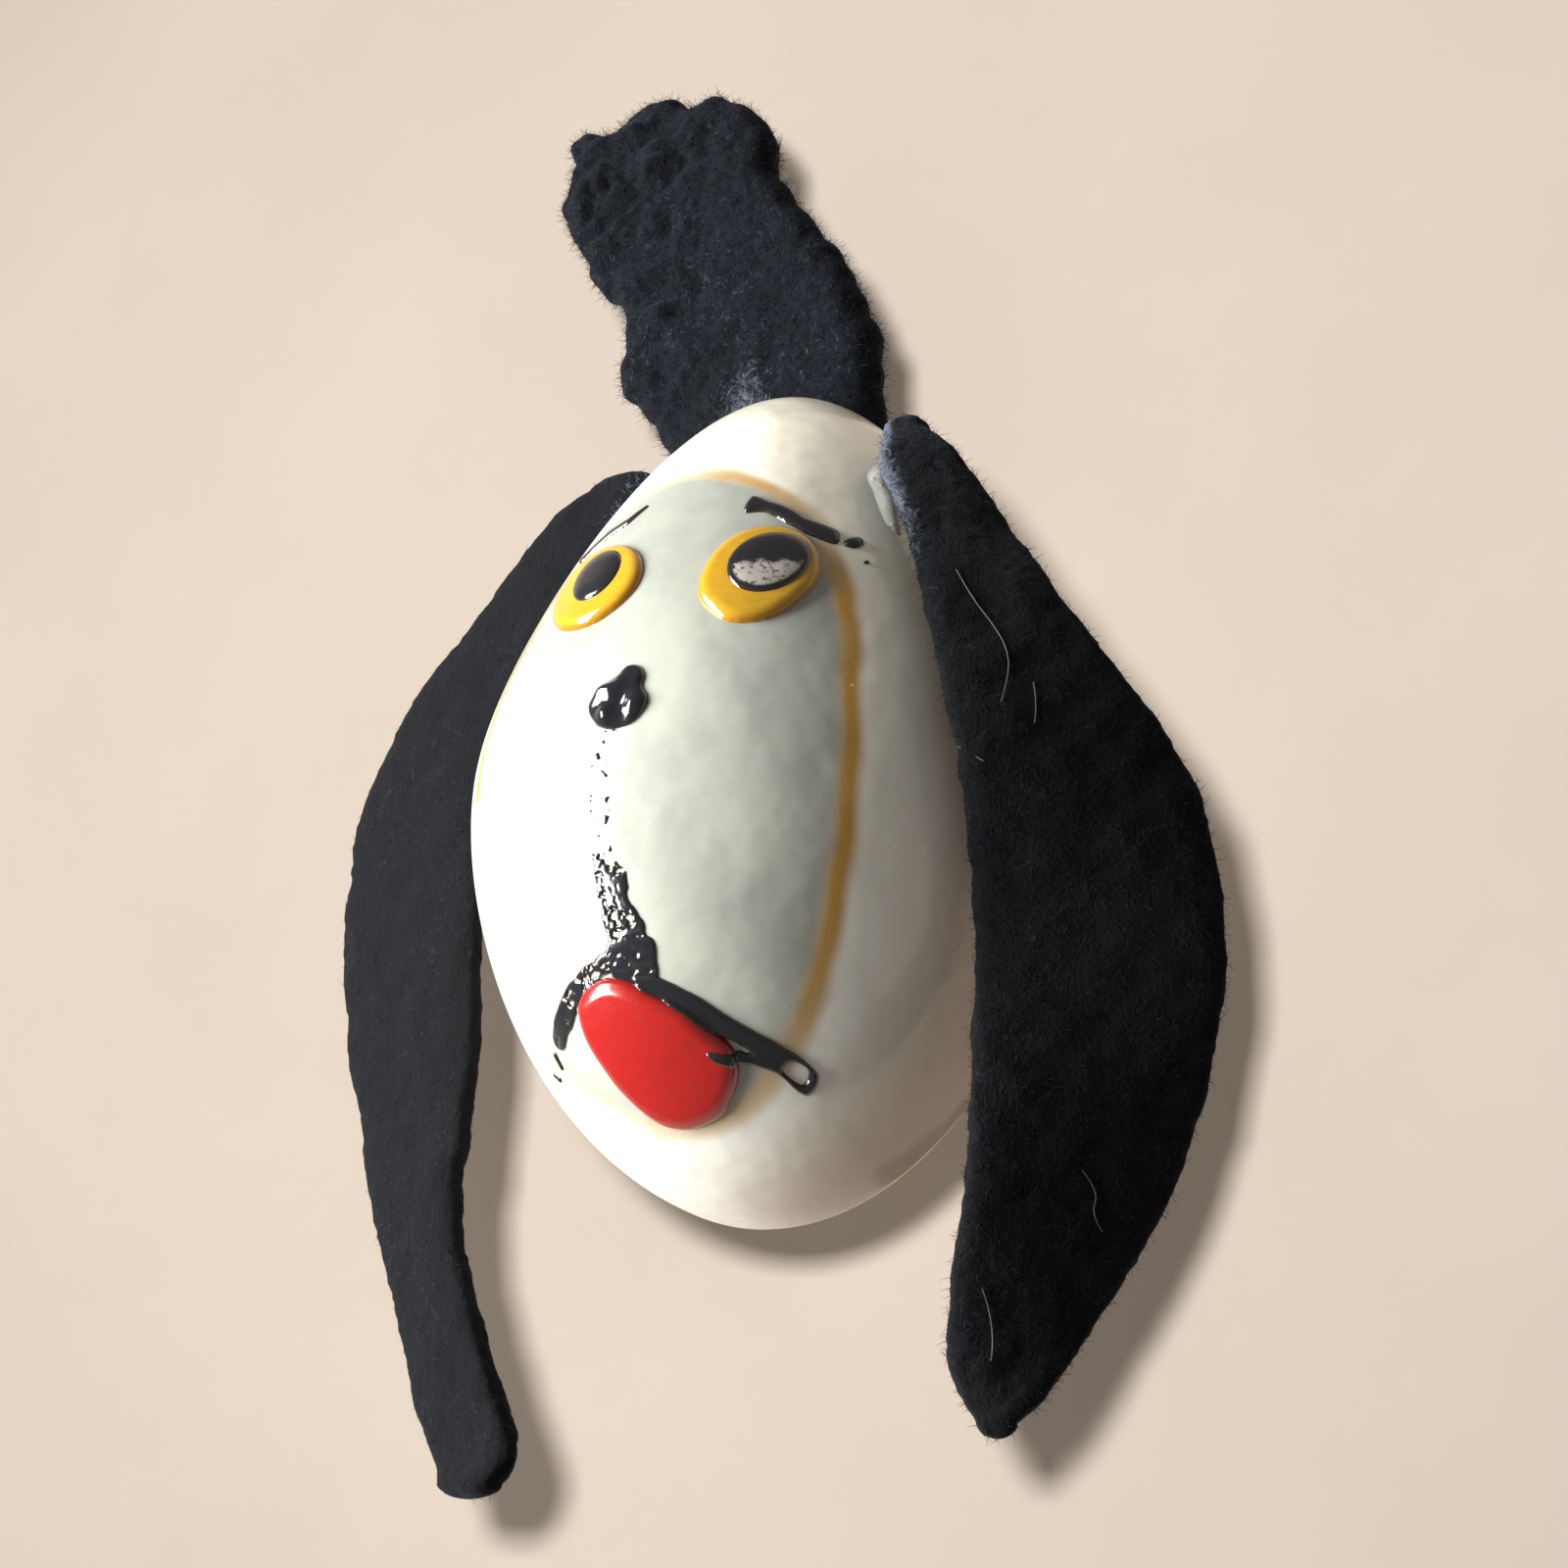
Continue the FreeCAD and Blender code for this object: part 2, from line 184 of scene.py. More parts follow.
def shell_rule(around, along):
    """The geometry tree that turns a flat grid into the shell, with its toothed slit pressed in."""
    tree, given, made = making_tree("shell_rule", {
        "Length": shell_length, "Width": shell_width, "Dorsum": dorsum_height,
        "Bulge": base_bulge, "Slit Depth": 1.7})
    grid = add(tree, "GeometryNodeMeshGrid", {"Size X": 1.0, "Size Y": 1.0,
                                              "Vertices X": around + 1, "Vertices Y": along + 1})
    spot = add(tree, "GeometryNodeInputPosition").outputs[0]
    spot = parts(spot)
    t = put("SINE", put("*", spot[1], math.pi))
    turn = put("*", spot[0], 2 * math.pi)
    cosine, sine = put("COSINE", turn), put("SINE", turn)

    def full(power):
        soft, end = waist_round ** power, (1 + waist_round ** 2) ** (power / 2)
        square = put("+", put("*", t, t), waist_round ** 2)
        reach = put("-", put("^", square, power / 2), soft)
        left = put("-", 1.0, put("/", reach, end - soft))
        return put("SQRT", put("MAXIMUM", left, 0.0))

    def narrowed(size, share, taper):
        return put("*", put("*", size, share), put("-", 1.0, put("*", t, taper)))

    wide = narrowed(put("*", given["Width"], 0.5), full(width_fullness), width_taper)
    front = narrowed(given["Dorsum"], full(height_fullness), height_taper)
    back = put("*", given["Bulge"], full(height_fullness))
    behind = put("GREATER_THAN", sine, 0.0)
    deep = put("+", front, put("*", behind, put("-", back, front)))
    power = put("+", 2.0, put("*", behind, base_squareness - 2))
    across = put("^", put("/", put("ABSOLUTE", cosine), put("MAXIMUM", wide, 1e-6)), power)
    up = put("^", put("/", put("ABSOLUTE", sine), put("MAXIMUM", deep, 1e-6)), power)
    radius = put("^", put("+", across, up), put("/", -1.0, power))
    x = put("*", radius, cosine)
    y = put("-", put("*", radius, sine), given["Bulge"])
    z = put("*", t, put("*", given["Length"], 0.5))

    # the slit bows sideways, and between its teeth short furrows run out over both lips
    level = put("/", z, slit_half_length)
    bow = put("*", put("-", 1.0, put("*", level, level)), slit_bow)
    off = put("ABSOLUTE", put("-", x, bow))
    wave = put("COSINE", put("*", z, 2 * math.pi / tooth_pitch))
    furrow = put("^", put("+", 0.5, put("*", wave, 0.5)), 1.6)
    lip = put("+", 0.42, put("*", furrow, 0.5))
    pressed = fade(off, put("+", lip, 0.35), put("-", lip, 0.2))
    rolled = put("*", put("*", furrow, 0.24), fade(off, 2.7, 0.9))
    inward = put("+", put("*", pressed, given["Slit Depth"]), rolled)
    ends = put("*", fade(put("ABSOLUTE", z), 10.6, 9.0), behind)
    y = put("-", y, put("*", inward, ends))

    point = add(tree, "ShaderNodeCombineXYZ", {0: x, 1: y, 2: z}).outputs[0]
    placed = add(tree, "GeometryNodeSetPosition", {"Geometry": grid.outputs[0],
                                                   "Position": scaled(point, mm)})
    joined = add(tree, "GeometryNodeMergeByDistance", {"Geometry": placed.outputs[0], "Distance": 2e-6})
    smooth = add(tree, "GeometryNodeSetShadeSmooth", {0: joined.outputs[0]})
    real = add(tree, "GeometryNodeRealizeInstances", {0: smooth.outputs[0]})
    end = add(tree, "GeometryNodeSetMaterial", {"Geometry": real.outputs[0], "Material": shell_glaze})
    tree.links.new(end.outputs[0], made)
    return tree


shell_glaze, tree, shader, place = new_finish("shell_glaze")
sway = mottle(place, 0.22, 2.0)
sway = put("*", put("-", sway, 0.5), 0.9)
x, y, z = parts(place)
ring_half_width, ring_half_height, ring_drop = 5.85, 9.5, 1.46
x1, z1 = put("+", x, sway), put("+", put("+", z, ring_drop), put("*", sway, 0.7))
square = put("+", put("^", put("/", x1, ring_half_width), 2.0),
             put("^", put("/", z1, ring_half_height), 2.0))
share = put("SQRT", square)
slope = put("SQRT", put("+", put("^", put("/", x1, ring_half_width ** 2), 2.0),
                        put("^", put("/", z1, ring_half_height ** 2), 2.0)))
outside = put("/", put("*", put("-", share, 1.0), share),
              put("MAXIMUM", slope, 0.02))            # millimetres outside the ring
front_side = fade(y, margin_y + 0.4, margin_y - 0.4)
ring_strength = [(-180, 0.34), (-130, 0.42), (-100, 0.36), (-82, 0.55), (-66, 0.62), (-54, 0.9),
                 (-38, 1.0), (25, 1.0), (44, 1.0), (52, 0.85), (57, 0.6), (64, 0.4), (69, 0.62),
                 (76, 0.82), (83, 0.76), (90, 0.42), (104, 0.34), (180, 0.34)]
turn = put("+", put("/", put("ARCTAN2", z1, x1), 2 * math.pi), 0.5)
strength = add(tree, "ShaderNodeValToRGB", {"Fac": turn})
ramp = strength.color_ramp
for degrees, value in ring_strength:
    stop = ramp.elements.new(degrees / 360 + 0.5)
    stop.color = (value, value, value, 1)
ramp.elements.remove(ramp.elements[0])
ramp.elements.remove(ramp.elements[-1])
ring = put("*", fade(put("ABSOLUTE", outside), 0.36, 0.04), strength.outputs[0])
ring = put("*", ring, front_side)
clouds = mottle(place, 0.3, 4.0, 0.55)
inside = tint(fade(clouds, 0.38, 0.66), (0.36, 0.375, 0.335), (0.44, 0.455, 0.40))
inside = tint(put("*", fade(z, -1.5, 5.0), 0.4), inside, (0.25, 0.265, 0.24))
cream = tint(fade(z, -6.0, 11.0), (0.86, 0.86, 0.80), (0.93, 0.91, 0.77))
# painted reflection: the flanks outside the ring are tinted pinkish-tan, standing in for warm
# surroundings reflected in the glaze
flank_reflection = put("*", fade(outside, 0.6, 3.2), fade(put("ABSOLUTE", put("+", z, 2.5)), 8.5, 2.0))
cream = tint(put("*", flank_reflection, 0.85), cream, (0.64, 0.44, 0.35))
low_edge = put("*", fade(put("+", x, put("*", z, -0.9)), 9.0, 14.0),
               fade(y, margin_y - 6.0, margin_y - 1.0))
cream = tint(put("*", low_edge, 0.75), cream, (0.34, 0.21, 0.13))
colour = tint(put("*", fade(outside, 0.25, -0.35), front_side), cream, inside)
colour = tint(ring, colour, (0.50, 0.265, 0.036))
growth = mottle(scaled(place, (1.6, 1.6, 0.25)), 0.8, 3.0)
colour = tint(put("*", fade(growth, 0.52, 0.7), 0.12), colour, (0.5, 0.46, 0.38))
specks = add(tree, "ShaderNodeTexVoronoi", {"Vector": place, "Scale": 0.75}).outputs["Distance"]
dust = put("*", fade(specks, 0.055, 0.025), fade(x, 4.6, 6.4))
colour = tint(put("*", dust, 0.7), colour, (0.95, 0.93, 0.86))
# painted shade: the deepest part of the slit is painted dark brown, standing in for the shade inside
# the hollow shell
bow = put("*", put("-", 1.0, put("^", put("/", z, slit_half_length), 2.0)), slit_bow)
slit_shade = put("*", fade(put("ABSOLUTE", put("-", x, bow)), 1.0, 0.25), fade(y, -0.55, -1.2))
slit_shade = put("*", slit_shade, put("GREATER_THAN", y, margin_y - 1.5))
slit_shade = put("*", slit_shade, fade(put("ABSOLUTE", z), 10.4, 9.4))
colour = tint(slit_shade, colour, (0.16, 0.10, 0.06))
worn = mottle(place, 1.1, 5.0, 0.6)
rough = put("+", 0.2, put("*", fade(worn, 0.5, 0.75), 0.12))
ripple = put("+", mottle(place, 0.45, 2.0), put("*", mottle(place, 6.0, 3.0), 0.02))
feed(shader, {"Base Color": colour, "Roughness": rough, "Normal": relief(ripple, 0.35, 0.0003),
              "Subsurface Weight": 0.12, "Subsurface Scale": 0.001, "Coat Weight": 0.4,
              "Coat Roughness": 0.13, "IOR": 1.53})

shell = worked_out("cowrie_shell", shell_rule(408, 232))
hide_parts("shell")
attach(shell, "head")


# ---- eyes ---------------------------------------------------------------------------------------
# Each eye is a thick disc of yellow enamel with a domed drop of black enamel on it, dripped from a
# brush while the shell lay flat, so both are raised and have soft round rims.
def full(t, power):
    soft, end = waist_round ** power, (1 + waist_round ** 2) ** (power / 2)
    reach = (t * t + waist_round ** 2) ** (power / 2)
    return np.sqrt(np.maximum(1 - (reach - soft) / (end - soft), 0))


def shell_side(z):
    """Half the shell's width at a height."""
    t = np.clip(z / crown, -1, 1)
    return shell_width / 2 * full(t, width_fullness) * (1 - width_taper * t)


def face_y(x, z):
    """Where the face's surface is, as y, at any x and z."""
    t = np.clip(z / crown, -1, 1)
    deep = dorsum_height * full(t, height_fullness) * (1 - height_taper * t)
    share = np.clip(x / np.maximum(shell_side(z), 1e-6), -0.999, 0.999)
    return margin_y - deep * np.sqrt(1 - share ** 2)


def raised(x, z, height):
    """Points a height above the face, square to it."""
    step = 0.2
    y = face_y(x, z)
    lean_x = (face_y(x + step, z) - face_y(x - step, z)) / (2 * step)
    lean_z = (face_y(x, z + step) - face_y(x, z - step)) / (2 * step)
    size = np.sqrt(1 + lean_x ** 2 + lean_z ** 2)
    return np.stack([x + height * lean_x / size, y - height / size, z + height * lean_z / size], -1)


def flecks(x, z, scale, seed):
    """Smooth noise from about -1 to 1 at every point."""
    flat = [noise.noise(Vector((a * scale, b * scale, seed))) for a, b in zip(x.ravel(), z.ravel())]
    return np.array(flat).reshape(x.shape)


def closed_skin(field, box, step):
    """Cuts a flat grid along the line where field is nought. Gives the points kept, the faces,
    the rim's edges in order and the field at each point."""
    columns = np.arange(box[0], box[1] + step, step)
    rows = np.arange(box[2], box[3] + step, step)
    grid_x, grid_z = np.meshgrid(columns, rows, indexing="ij")
    value = field(grid_x, grid_z)
    value[[0, -1], :] = -1
    value[:, [0, -1]] = -1
    value[np.abs(value) < 0.12 * step] = 1e-7
    numbers, points, faces, heights = {}, [], [], []

    def keep(key, x, z, height):
        if key not in numbers:
            numbers[key] = len(points)
            points.append((x, z))
            heights.append(height)
        return numbers[key]

    inside = value > 0
    touched = inside[:-1, :-1] | inside[1:, :-1] | inside[1:, 1:] | inside[:-1, 1:]
    for i, j in zip(*np.nonzero(touched)):
        corners = [(i, j), (i + 1, j), (i + 1, j + 1), (i, j + 1)]
        face = []
        for first, second in zip(corners, corners[1:] + corners[:1]):
            a, b = value[first], value[second]
            if a > 0:
                face.append(keep(first, grid_x[first], grid_z[first], a))
            if (a > 0) != (b > 0):
                share = a / (a - b)
                x = grid_x[first] + share * (grid_x[second] - grid_x[first])
                z = grid_z[first] + share * (grid_z[second] - grid_z[first])
                face.append(keep(frozenset((first, second)), x, z, 0.0))
        if len(face) > 2:
            faces.append(face)
    edges = {}
    for face in faces:
        for a, b in zip(face, face[1:] + face[:1]):
            edges[a, b] = edges.get((a, b), 0) + 1
    rim = [(a, b) for a, b in edges if (b, a) not in edges]
    return np.array(points), faces, rim, np.array(heights)


def as_piece(name, points, faces, finish, marks=None):
    """A smooth mesh from points in millimetres, with optional named values at its points."""
    mesh = bpy.data.meshes.new(name)
    mesh.from_pydata([tuple(p) for p in np.asarray(points) * mm], [], faces)
    for label, values in (marks or {}).items():
        mesh.attributes.new(label, "FLOAT", "POINT").data.foreach_set(
            "value", np.asarray(values, np.float32))
    mesh.shade_smooth()
    mesh.validate()
    mesh.materials.append(finish)
    return in_scene(name, mesh)


def laid_film(name, node, finish, box, field, thickness, rounding, step=0.05, under=None,
              lumps=0.0):
    """A closed film of paint on the face. Its rim is where field, in millimetres, is nought, and
    it rises over the distance rounding to its full thickness. under gives what it lies on, and
    lumps is the share of the thickness that comes and goes."""
    flat, faces, rim, depth = closed_skin(field, box, step)
    x, z = flat[:, 0], flat[:, 1]
    floor = under(x, z) if under else np.zeros(len(x))
    swell = np.sqrt(np.clip(1 - (1 - np.clip(depth / rounding, 0, 1)) ** 2, 0, 1))
    uneven = 1 + lumps * flecks(x, z, 1.9, 51.0) if lumps else 1
    top = raised(x, z, floor + thickness * swell * uneven)
    bottom = raised(x, z, floor - 0.05)
    count = len(x)
    sides = [[b, a, a + count, b + count] for a, b in rim]
    lower = [[p + count for p in face[::-1]] for face in faces]
    piece = as_piece(name, np.concatenate([top, bottom]), faces + lower + sides, finish,
                     {"from_rim": np.concatenate([depth, depth])})
    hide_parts(node)
    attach(piece, "head")
    return piece


def oval(x, z, half_x, half_z, wobble=0.05, seed=1.0):
    """A hand-made oval, as a field of millimetres inside its edge."""
    def field(a, b):
        share = np.sqrt(((a - x) / half_x) ** 2 + ((b - z) / half_z) ** 2)
        return (1 - share) * min(half_x, half_z) + wobble * flecks(a, b, 0.9, seed)
    return field


def brushed_group():
    """Hand-laid enamel: uneven depth of colour, a thinner rim, brush drag and tiny dust pips."""
    tree = bpy.data.node_groups.new("hand_laid_enamel", "ShaderNodeTree")
    socket_list(tree, "INPUT", Place="Vector", Colour="Color", Rim_Colour="Color", Rim_Width="Float",
                Unevenness="Float", Gloss="Float")
    socket_list(tree, "OUTPUT", Colour="Color", Roughness="Float", Height="Float")
    given = tree.nodes.new("NodeGroupInput").outputs
    made = tree.nodes.new("NodeGroupOutput").inputs
    depth = add(tree, "ShaderNodeAttribute", attribute_name="from_rim").outputs["Fac"]
    cloud = mottle(given["Place"], 0.9, 4.0, 0.55)
    rim = fade(put("+", depth, put("*", put("-", cloud, 0.5), 0.06)), given["Rim Width"], 0.0)
    streak = mottle(scaled(given["Place"], (1.0, 1.0, 4.0)), 1.3, 4.0, 0.6)
    dark = scaled(given["Colour"], 0.62)
    colour = tint(put("*", fade(streak, 0.35, 0.75), given["Unevenness"]), given["Colour"], dark)
    tree.links.new(tint(put("*", rim, 0.8), colour, given["Rim Colour"]), made[0])
    pips = add(tree, "ShaderNodeTexVoronoi", {"Vector": given["Place"], "Scale": 2.6})
    pips = fade(pips.outputs["Distance"], 0.10, 0.03)
    tree.links.new(put("+", given["Gloss"], put("*", fade(streak, 0.4, 0.8), 0.14)), made[1])
    tree.links.new(put("+", put("+", put("*", cloud, 0.6), put("*", streak, 0.12)),
                       put("*", pips, 0.08)), made[2])
    return tree


enamel_group = brushed_group()


def enamel(name, colour, rim_colour, rim_width, unevenness, gloss, depth):
    material, tree, shader, place = new_finish(name)
    made = add(tree, "ShaderNodeGroup", {
        "Place": place, "Colour": (*colour, 1), "Rim Colour": (*rim_colour, 1),
        "Rim Width": rim_width, "Unevenness": unevenness, "Gloss": gloss},
        node_tree=enamel_group).outputs
    feed(shader, {"Base Color": made["Colour"], "Roughness": made["Roughness"],
                  "Normal": relief(made["Height"], depth, 0.00015),
                  "Coat Weight": 0.6, "Coat Roughness": 0.08})
    return material


yellow = enamel("yellow_enamel", (0.54, 0.30, 0.016), (0.40, 0.16, 0.010), 0.16, 0.35, 0.14, 0.25)
jet, jet_rim = (0.010, 0.011, 0.015), (0.030, 0.022, 0.018)
black = enamel("black_enamel", jet, jet_rim, 0.10, 0.3, 0.10, 0.2)

# painted reflection: the right pupil's lower half is painted pale, with a ragged upper edge, standing
# in for a window's reflection in the glossy drop
black_with_painted_reflection = enamel("dulled_black_enamel", jet, jet_rim, 0.10, 0.3, 0.10, 0.4)
tree = black_with_painted_reflection.node_tree
shader = next(node for node in tree.nodes if node.type == "BSDF_PRINCIPLED")
place = place_in(tree)
x, y, z = parts(place)
ragged = put("*", put("-", mottle(place, 2.4, 4.0, 0.6), 0.5), 0.5)
low_part = fade(put("+", put("+", z, put("*", x, -0.12)), ragged), 3.86, 3.72)
in_rim = fade(add(tree, "ShaderNodeAttribute", attribute_name="from_rim").outputs["Fac"], 0.10, 0.18)
patch = put("*", put("*", low_part, in_rim), fade(mottle(place, 5.0, 4.0, 0.7), 0.36, 0.5))
plain = shader.inputs["Base Color"].links[0].from_socket
feed(shader, {"Base Color": tint(put("*", patch, 0.9), plain, (0.40, 0.37, 0.33))})

disc_height, disc_rounding = 0.26, 0.3
pupil_height, pupil_rounding = 0.14, 0.5
eyes = {"right": ((2.90, 3.92, 1.42, 1.70), (3.09, 4.13, 0.94, 1.06)),
        "left": ((-1.98, 4.04, 1.62, 1.44), (-1.84, 4.24, 0.82, 0.86))}
for seed, (side, (disc, pupil)) in enumerate(eyes.items()):
    disc_field = oval(*disc, 0.05, 3.0 + seed)

    def on_disc(x, z, field=disc_field):
        rise = np.clip(field(x, z) / disc_rounding, 0, 1)
        return disc_height * np.sqrt(1 - (1 - rise) ** 2)

    x, z, half_x, half_z = disc
    laid_film("eye_disc_" + side, "eye_disc_" + side, yellow,
              (x - half_x - 0.2, x + half_x + 0.2, z - half_z - 0.2, z + half_z + 0.2),
              disc_field, disc_height, disc_rounding)
    x, z, half_x, half_z = pupil
    laid_film("pupil_" + side, "pupil_" + side, black_with_painted_reflection if side == "right" else black,
              (x - half_x - 0.2, x + half_x + 0.2, z - half_z - 0.2, z + half_z + 0.2),
              oval(*pupil, 0.03, 7.0 + seed), pupil_height, pupil_rounding, 0.035, on_disc)


# ---- nose and tongue ----------------------------------------------------------------------------
# The nose is one heavy drop of the same black enamel, lumpy where a second touch of the brush met
# the first. The tongue is a wide flat pool of red enamel with a soft rim.
def smooth_loop(points, steps=8):
    """A rounded closed line through a few points."""
    ring = np.array(points, float)
    ahead, behind, far = np.roll(ring, -1, 0), np.roll(ring, 1, 0), np.roll(ring, -2, 0)
    rows = []
    for s in np.arange(steps) / steps:
        rows.append(0.5 * (2 * ring + (ahead - behind) * s
                           + (2 * behind - 5 * ring + 4 * ahead - far) * s ** 2
                           + (3 * ring - behind - 3 * ahead + far) * s ** 3))
    return np.stack(rows, 1).reshape(-1, 2)


def to_line(x, z, a, b):
    """How far each point is from the straight run between a and b, and how far along it is."""
    a, b = np.asarray(a, float), np.asarray(b, float)
    run = b - a
    share = np.clip(((x - a[0]) * run[0] + (z - a[1]) * run[1]) / (run @ run), 0, 1)
    return np.hypot(x - a[0] - share * run[0], z - a[1] - share * run[1]), share


def inside_loop(loop, wobble=0.0, scale=2.0, seed=0.0):
    """A closed outline as a field: millimetres inside its edge, below nought outside it."""
    loop = np.asarray(loop, float)

    def field(x, z):
        near = np.full(x.shape, 1e9)
        odd = np.zeros(x.shape, bool)
        for a, b in zip(loop, np.roll(loop, -1, 0)):
            near = np.minimum(near, to_line(x, z, a, b)[0])
            crosses = (a[1] > z) != (b[1] > z)
            rise = b[1] - a[1] if b[1] != a[1] else 1e-9
            odd ^= crosses & (x < (b[0] - a[0]) * (z - a[1]) / rise + a[0])
        edge = wobble * flecks(x, z, scale, seed) if wobble else 0
        return np.where(odd, near, -near) + edge
    return field


def around(points, room=0.3):
    low, high = np.min(points, 0) - room, np.max(points, 0) + room
    return low[0], high[0], low[1], high[1]


red = enamel("red_enamel", (0.36, 0.010, 0.008), (0.22, 0.007, 0.007), 0.14, 0.3, 0.2, 0.3)
nose_line = [(0.10, 0.99), (0.45, 0.95), (0.66, 0.62), (0.66, 0.30), (0.86, -0.10), (0.74, -0.52),
             (0.37, -0.82), (-0.27, -0.88), (-0.72, -0.62), (-0.94, -0.20), (-0.84, 0.16),
             (-0.51, 0.50), (-0.22, 0.72)]
nose_field = inside_loop(smooth_loop(nose_line), 0.03, 2.2, 4.0)
laid_film("nose", "nose", black, around(nose_line), nose_field, 0.26, 0.5, 0.04,
          lumps=0.7)
tongue_line = [(-1.68, -7.68), (-1.03, -7.36), (-0.28, -7.35), (0.52, -7.71), (1.33, -8.13),
               (1.86, -8.60), (2.26, -9.01), (2.25, -9.51), (1.86, -10.10), (1.31, -10.55),
               (0.41, -10.80), (-0.31, -10.70), (-0.87, -10.31), (-1.37, -9.63),
               (-1.76, -8.82), (-1.87, -8.19)]
tongue_loop = smooth_loop(tongue_line)
tongue_field = inside_loop(tongue_loop, 0.02, 1.6, 6.0)
laid_film("tongue", "tongue", red, around(tongue_line), tongue_field, 0.35, 0.4, 0.055)


# ---- brush strokes ------------------------------------------------------------------------------
# Brows, muzzle line and mouth are thin black enamel drawn with a fine brush. The muzzle and the left
# of the mouth are rubbed away in flecks, and the right of the mouth has lost a flake near its end.
def on_tongue(x, z):
    rise = np.clip(tongue_field(x, z) / 0.4, 0, 1)
    return 0.35 * np.sqrt(1 - (1 - rise) ** 2)


def brush_line(points, widths, wobble=0.04, seed=1.0):
    """A stroke through points that is as wide at each one as widths says."""
    def field(x, z):
        best = np.full(x.shape, -1e9)
        for a, b, wide_a, wide_b in zip(points, points[1:], widths, widths[1:]):
            away, share = to_line(x, z, a, b)
            best = np.maximum(best, (wide_a + (wide_b - wide_a) * share) / 2 - away)
        return best + wobble * flecks(x, z, 2.5, seed)
    return field


def rubbed(field, wear, seed):
    """Breaks a field into flecks: wear, from 0 to 1, says how much is gone at each point."""
    def broken(x, z):
        grain = (0.5 + 0.62 * flecks(x, z, 3.1, seed) + 0.4 * flecks(x, z, 7.3, seed + 5)
                 + 0.1 * flecks(x, z, 13.0, seed + 9))
        return np.minimum(field(x, z), (grain - wear(x, z)) * 0.25)
    return broken


thin_film = 0.07
brow_right_line = [(1.94, 6.78), (1.93, 6.16), (2.46, 6.20), (3.22, 5.74), (3.80, 5.40), (4.36, 5.24),
                   (4.28, 5.72), (3.66, 5.98), (2.95, 6.42), (2.43, 6.62)]
brow_field = inside_loop(smooth_loop(brow_right_line), 0.03, 2.5, 2.0)
speck_fields = [oval(4.68, 5.40, 0.20, 0.21, 0.03, 5.0), oval(5.1, 4.75, 0.07, 0.06, 0.01, 6.0)]
laid_film("brow_right", "brow_right", black, (1.6, 5.4, 4.5, 7.1),
          lambda x, z: np.maximum.reduce([f(x, z) for f in [brow_field] + speck_fields]),
          0.13, 0.16, 0.04)
brow_left_field = brush_line([(-1.36, 6.94), (-1.88, 6.52), (-2.55, 6.30), (-3.1, 6.02), (-3.6, 5.75)],
                             [0.12, 0.26, 0.34, 0.3, 0.2], 0.03, 3.0)
laid_film("brow_left", "brow_left", black, (-3.9, -1.1, 5.4, 7.2),
          brow_left_field, thin_film, 0.1, 0.04)

muzzle_points = [(-0.15, -1.15), (-0.40, -1.75), (-0.35, -2.6), (-0.40, -3.6), (-0.38, -4.3),
                 (-0.12, -5.0), (-0.10, -5.7), (0.15, -6.3), (0.15, -6.9), (0.2, -7.25)]
muzzle_widths = [0.6, 0.62, 0.66, 0.6, 0.6, 1.0, 0.95, 1.15, 1.6, 1.3]
muzzle_wear = ([-7.4, -6.9, -6.3, -5.9, -5.3, -4.9, -4.4, -3.8, -2.8, -2.2, -1.2],
               [0.04, 0.10, 0.14, 0.38, 0.22, 0.22, 0.46, 0.70, 0.74, 0.68, 0.64])
muzzle_field = rubbed(brush_line(muzzle_points, muzzle_widths, 0.12, 8.0),
                      lambda x, z: np.interp(z, *muzzle_wear), 11.0)
laid_film("muzzle_line", "muzzle_line", black, (-1.3, 1.3, -7.7, -0.9),
          muzzle_field, thin_film, 0.09, 0.035)

left_points = [(-0.35, -6.85), (-0.95, -7.05), (-1.55, -7.34), (-2.1, -7.68), (-2.6, -8.06),
               (-3.05, -8.42)]
left_field = rubbed(brush_line(left_points, [0.5, 0.5, 0.56, 0.6, 0.66, 0.56], 0.06, 9.0),
                    lambda x, z: np.interp(x, [-3.2, -2.6, -1.9, -1.0, -0.3],
                                           [0.16, 0.08, 0.24, 0.32, 0.3]), 17.0)
left_specks = [brush_line([(-3.50, -8.72), (-3.42, -9.02)], [0.16, 0.13], 0.04, 2.0),
               brush_line([(-3.98, -9.06), (-3.78, -9.22)], [0.10, 0.12], 0.03, 3.0)]
laid_film("mouth_stroke_left", "mouth_stroke_left", black, (-4.3, 0.0, -9.5, -6.4),
          lambda x, z: np.maximum.reduce([f(x, z) for f in [left_field] + left_specks]),
          thin_film, 0.09, 0.035)

right_line = [(0.10, -7.34), (0.86, -7.42), (1.84, -7.94), (2.62, -8.49), (3.36, -8.92), (3.80, -9.24),
              (3.93, -9.56), (3.55, -9.98), (3.34, -9.93), (3.10, -9.60), (2.62, -9.42),
              (2.26, -9.32), (2.46, -9.02), (1.86, -8.66), (0.92, -7.96), (0.30, -7.66)]
right_field = inside_loop(smooth_loop(right_line), 0.03, 2.4, 7.0)
spur_field = brush_line([(2.60, -9.26), (2.16, -9.26), (1.86, -9.16), (1.70, -9.08)],
                        [0.3, 0.28, 0.24, 0.12], 0.02, 6.0)
flake_field = inside_loop(smooth_loop([(3.22, -9.46), (3.50, -9.27), (3.74, -9.40), (3.66, -9.62),
                                       (3.50, -9.76), (3.34, -9.66)]), 0.02, 4.0, 1.0)
gap_field = inside_loop([(2.34, -9.0), (2.52, -9.02), (2.68, -9.15), (2.50, -9.14)])


def mouth_right_field(x, z):
    whole = np.maximum(right_field(x, z), spur_field(x, z))
    return np.minimum(np.minimum(whole, -flake_field(x, z)), -gap_field(x, z))


laid_film("mouth_stroke_right", "mouth_stroke_right", black, (-0.1, 4.2, -10.3, -7.1),
          mouth_right_field, 0.13, 0.12, 0.035, on_tongue)


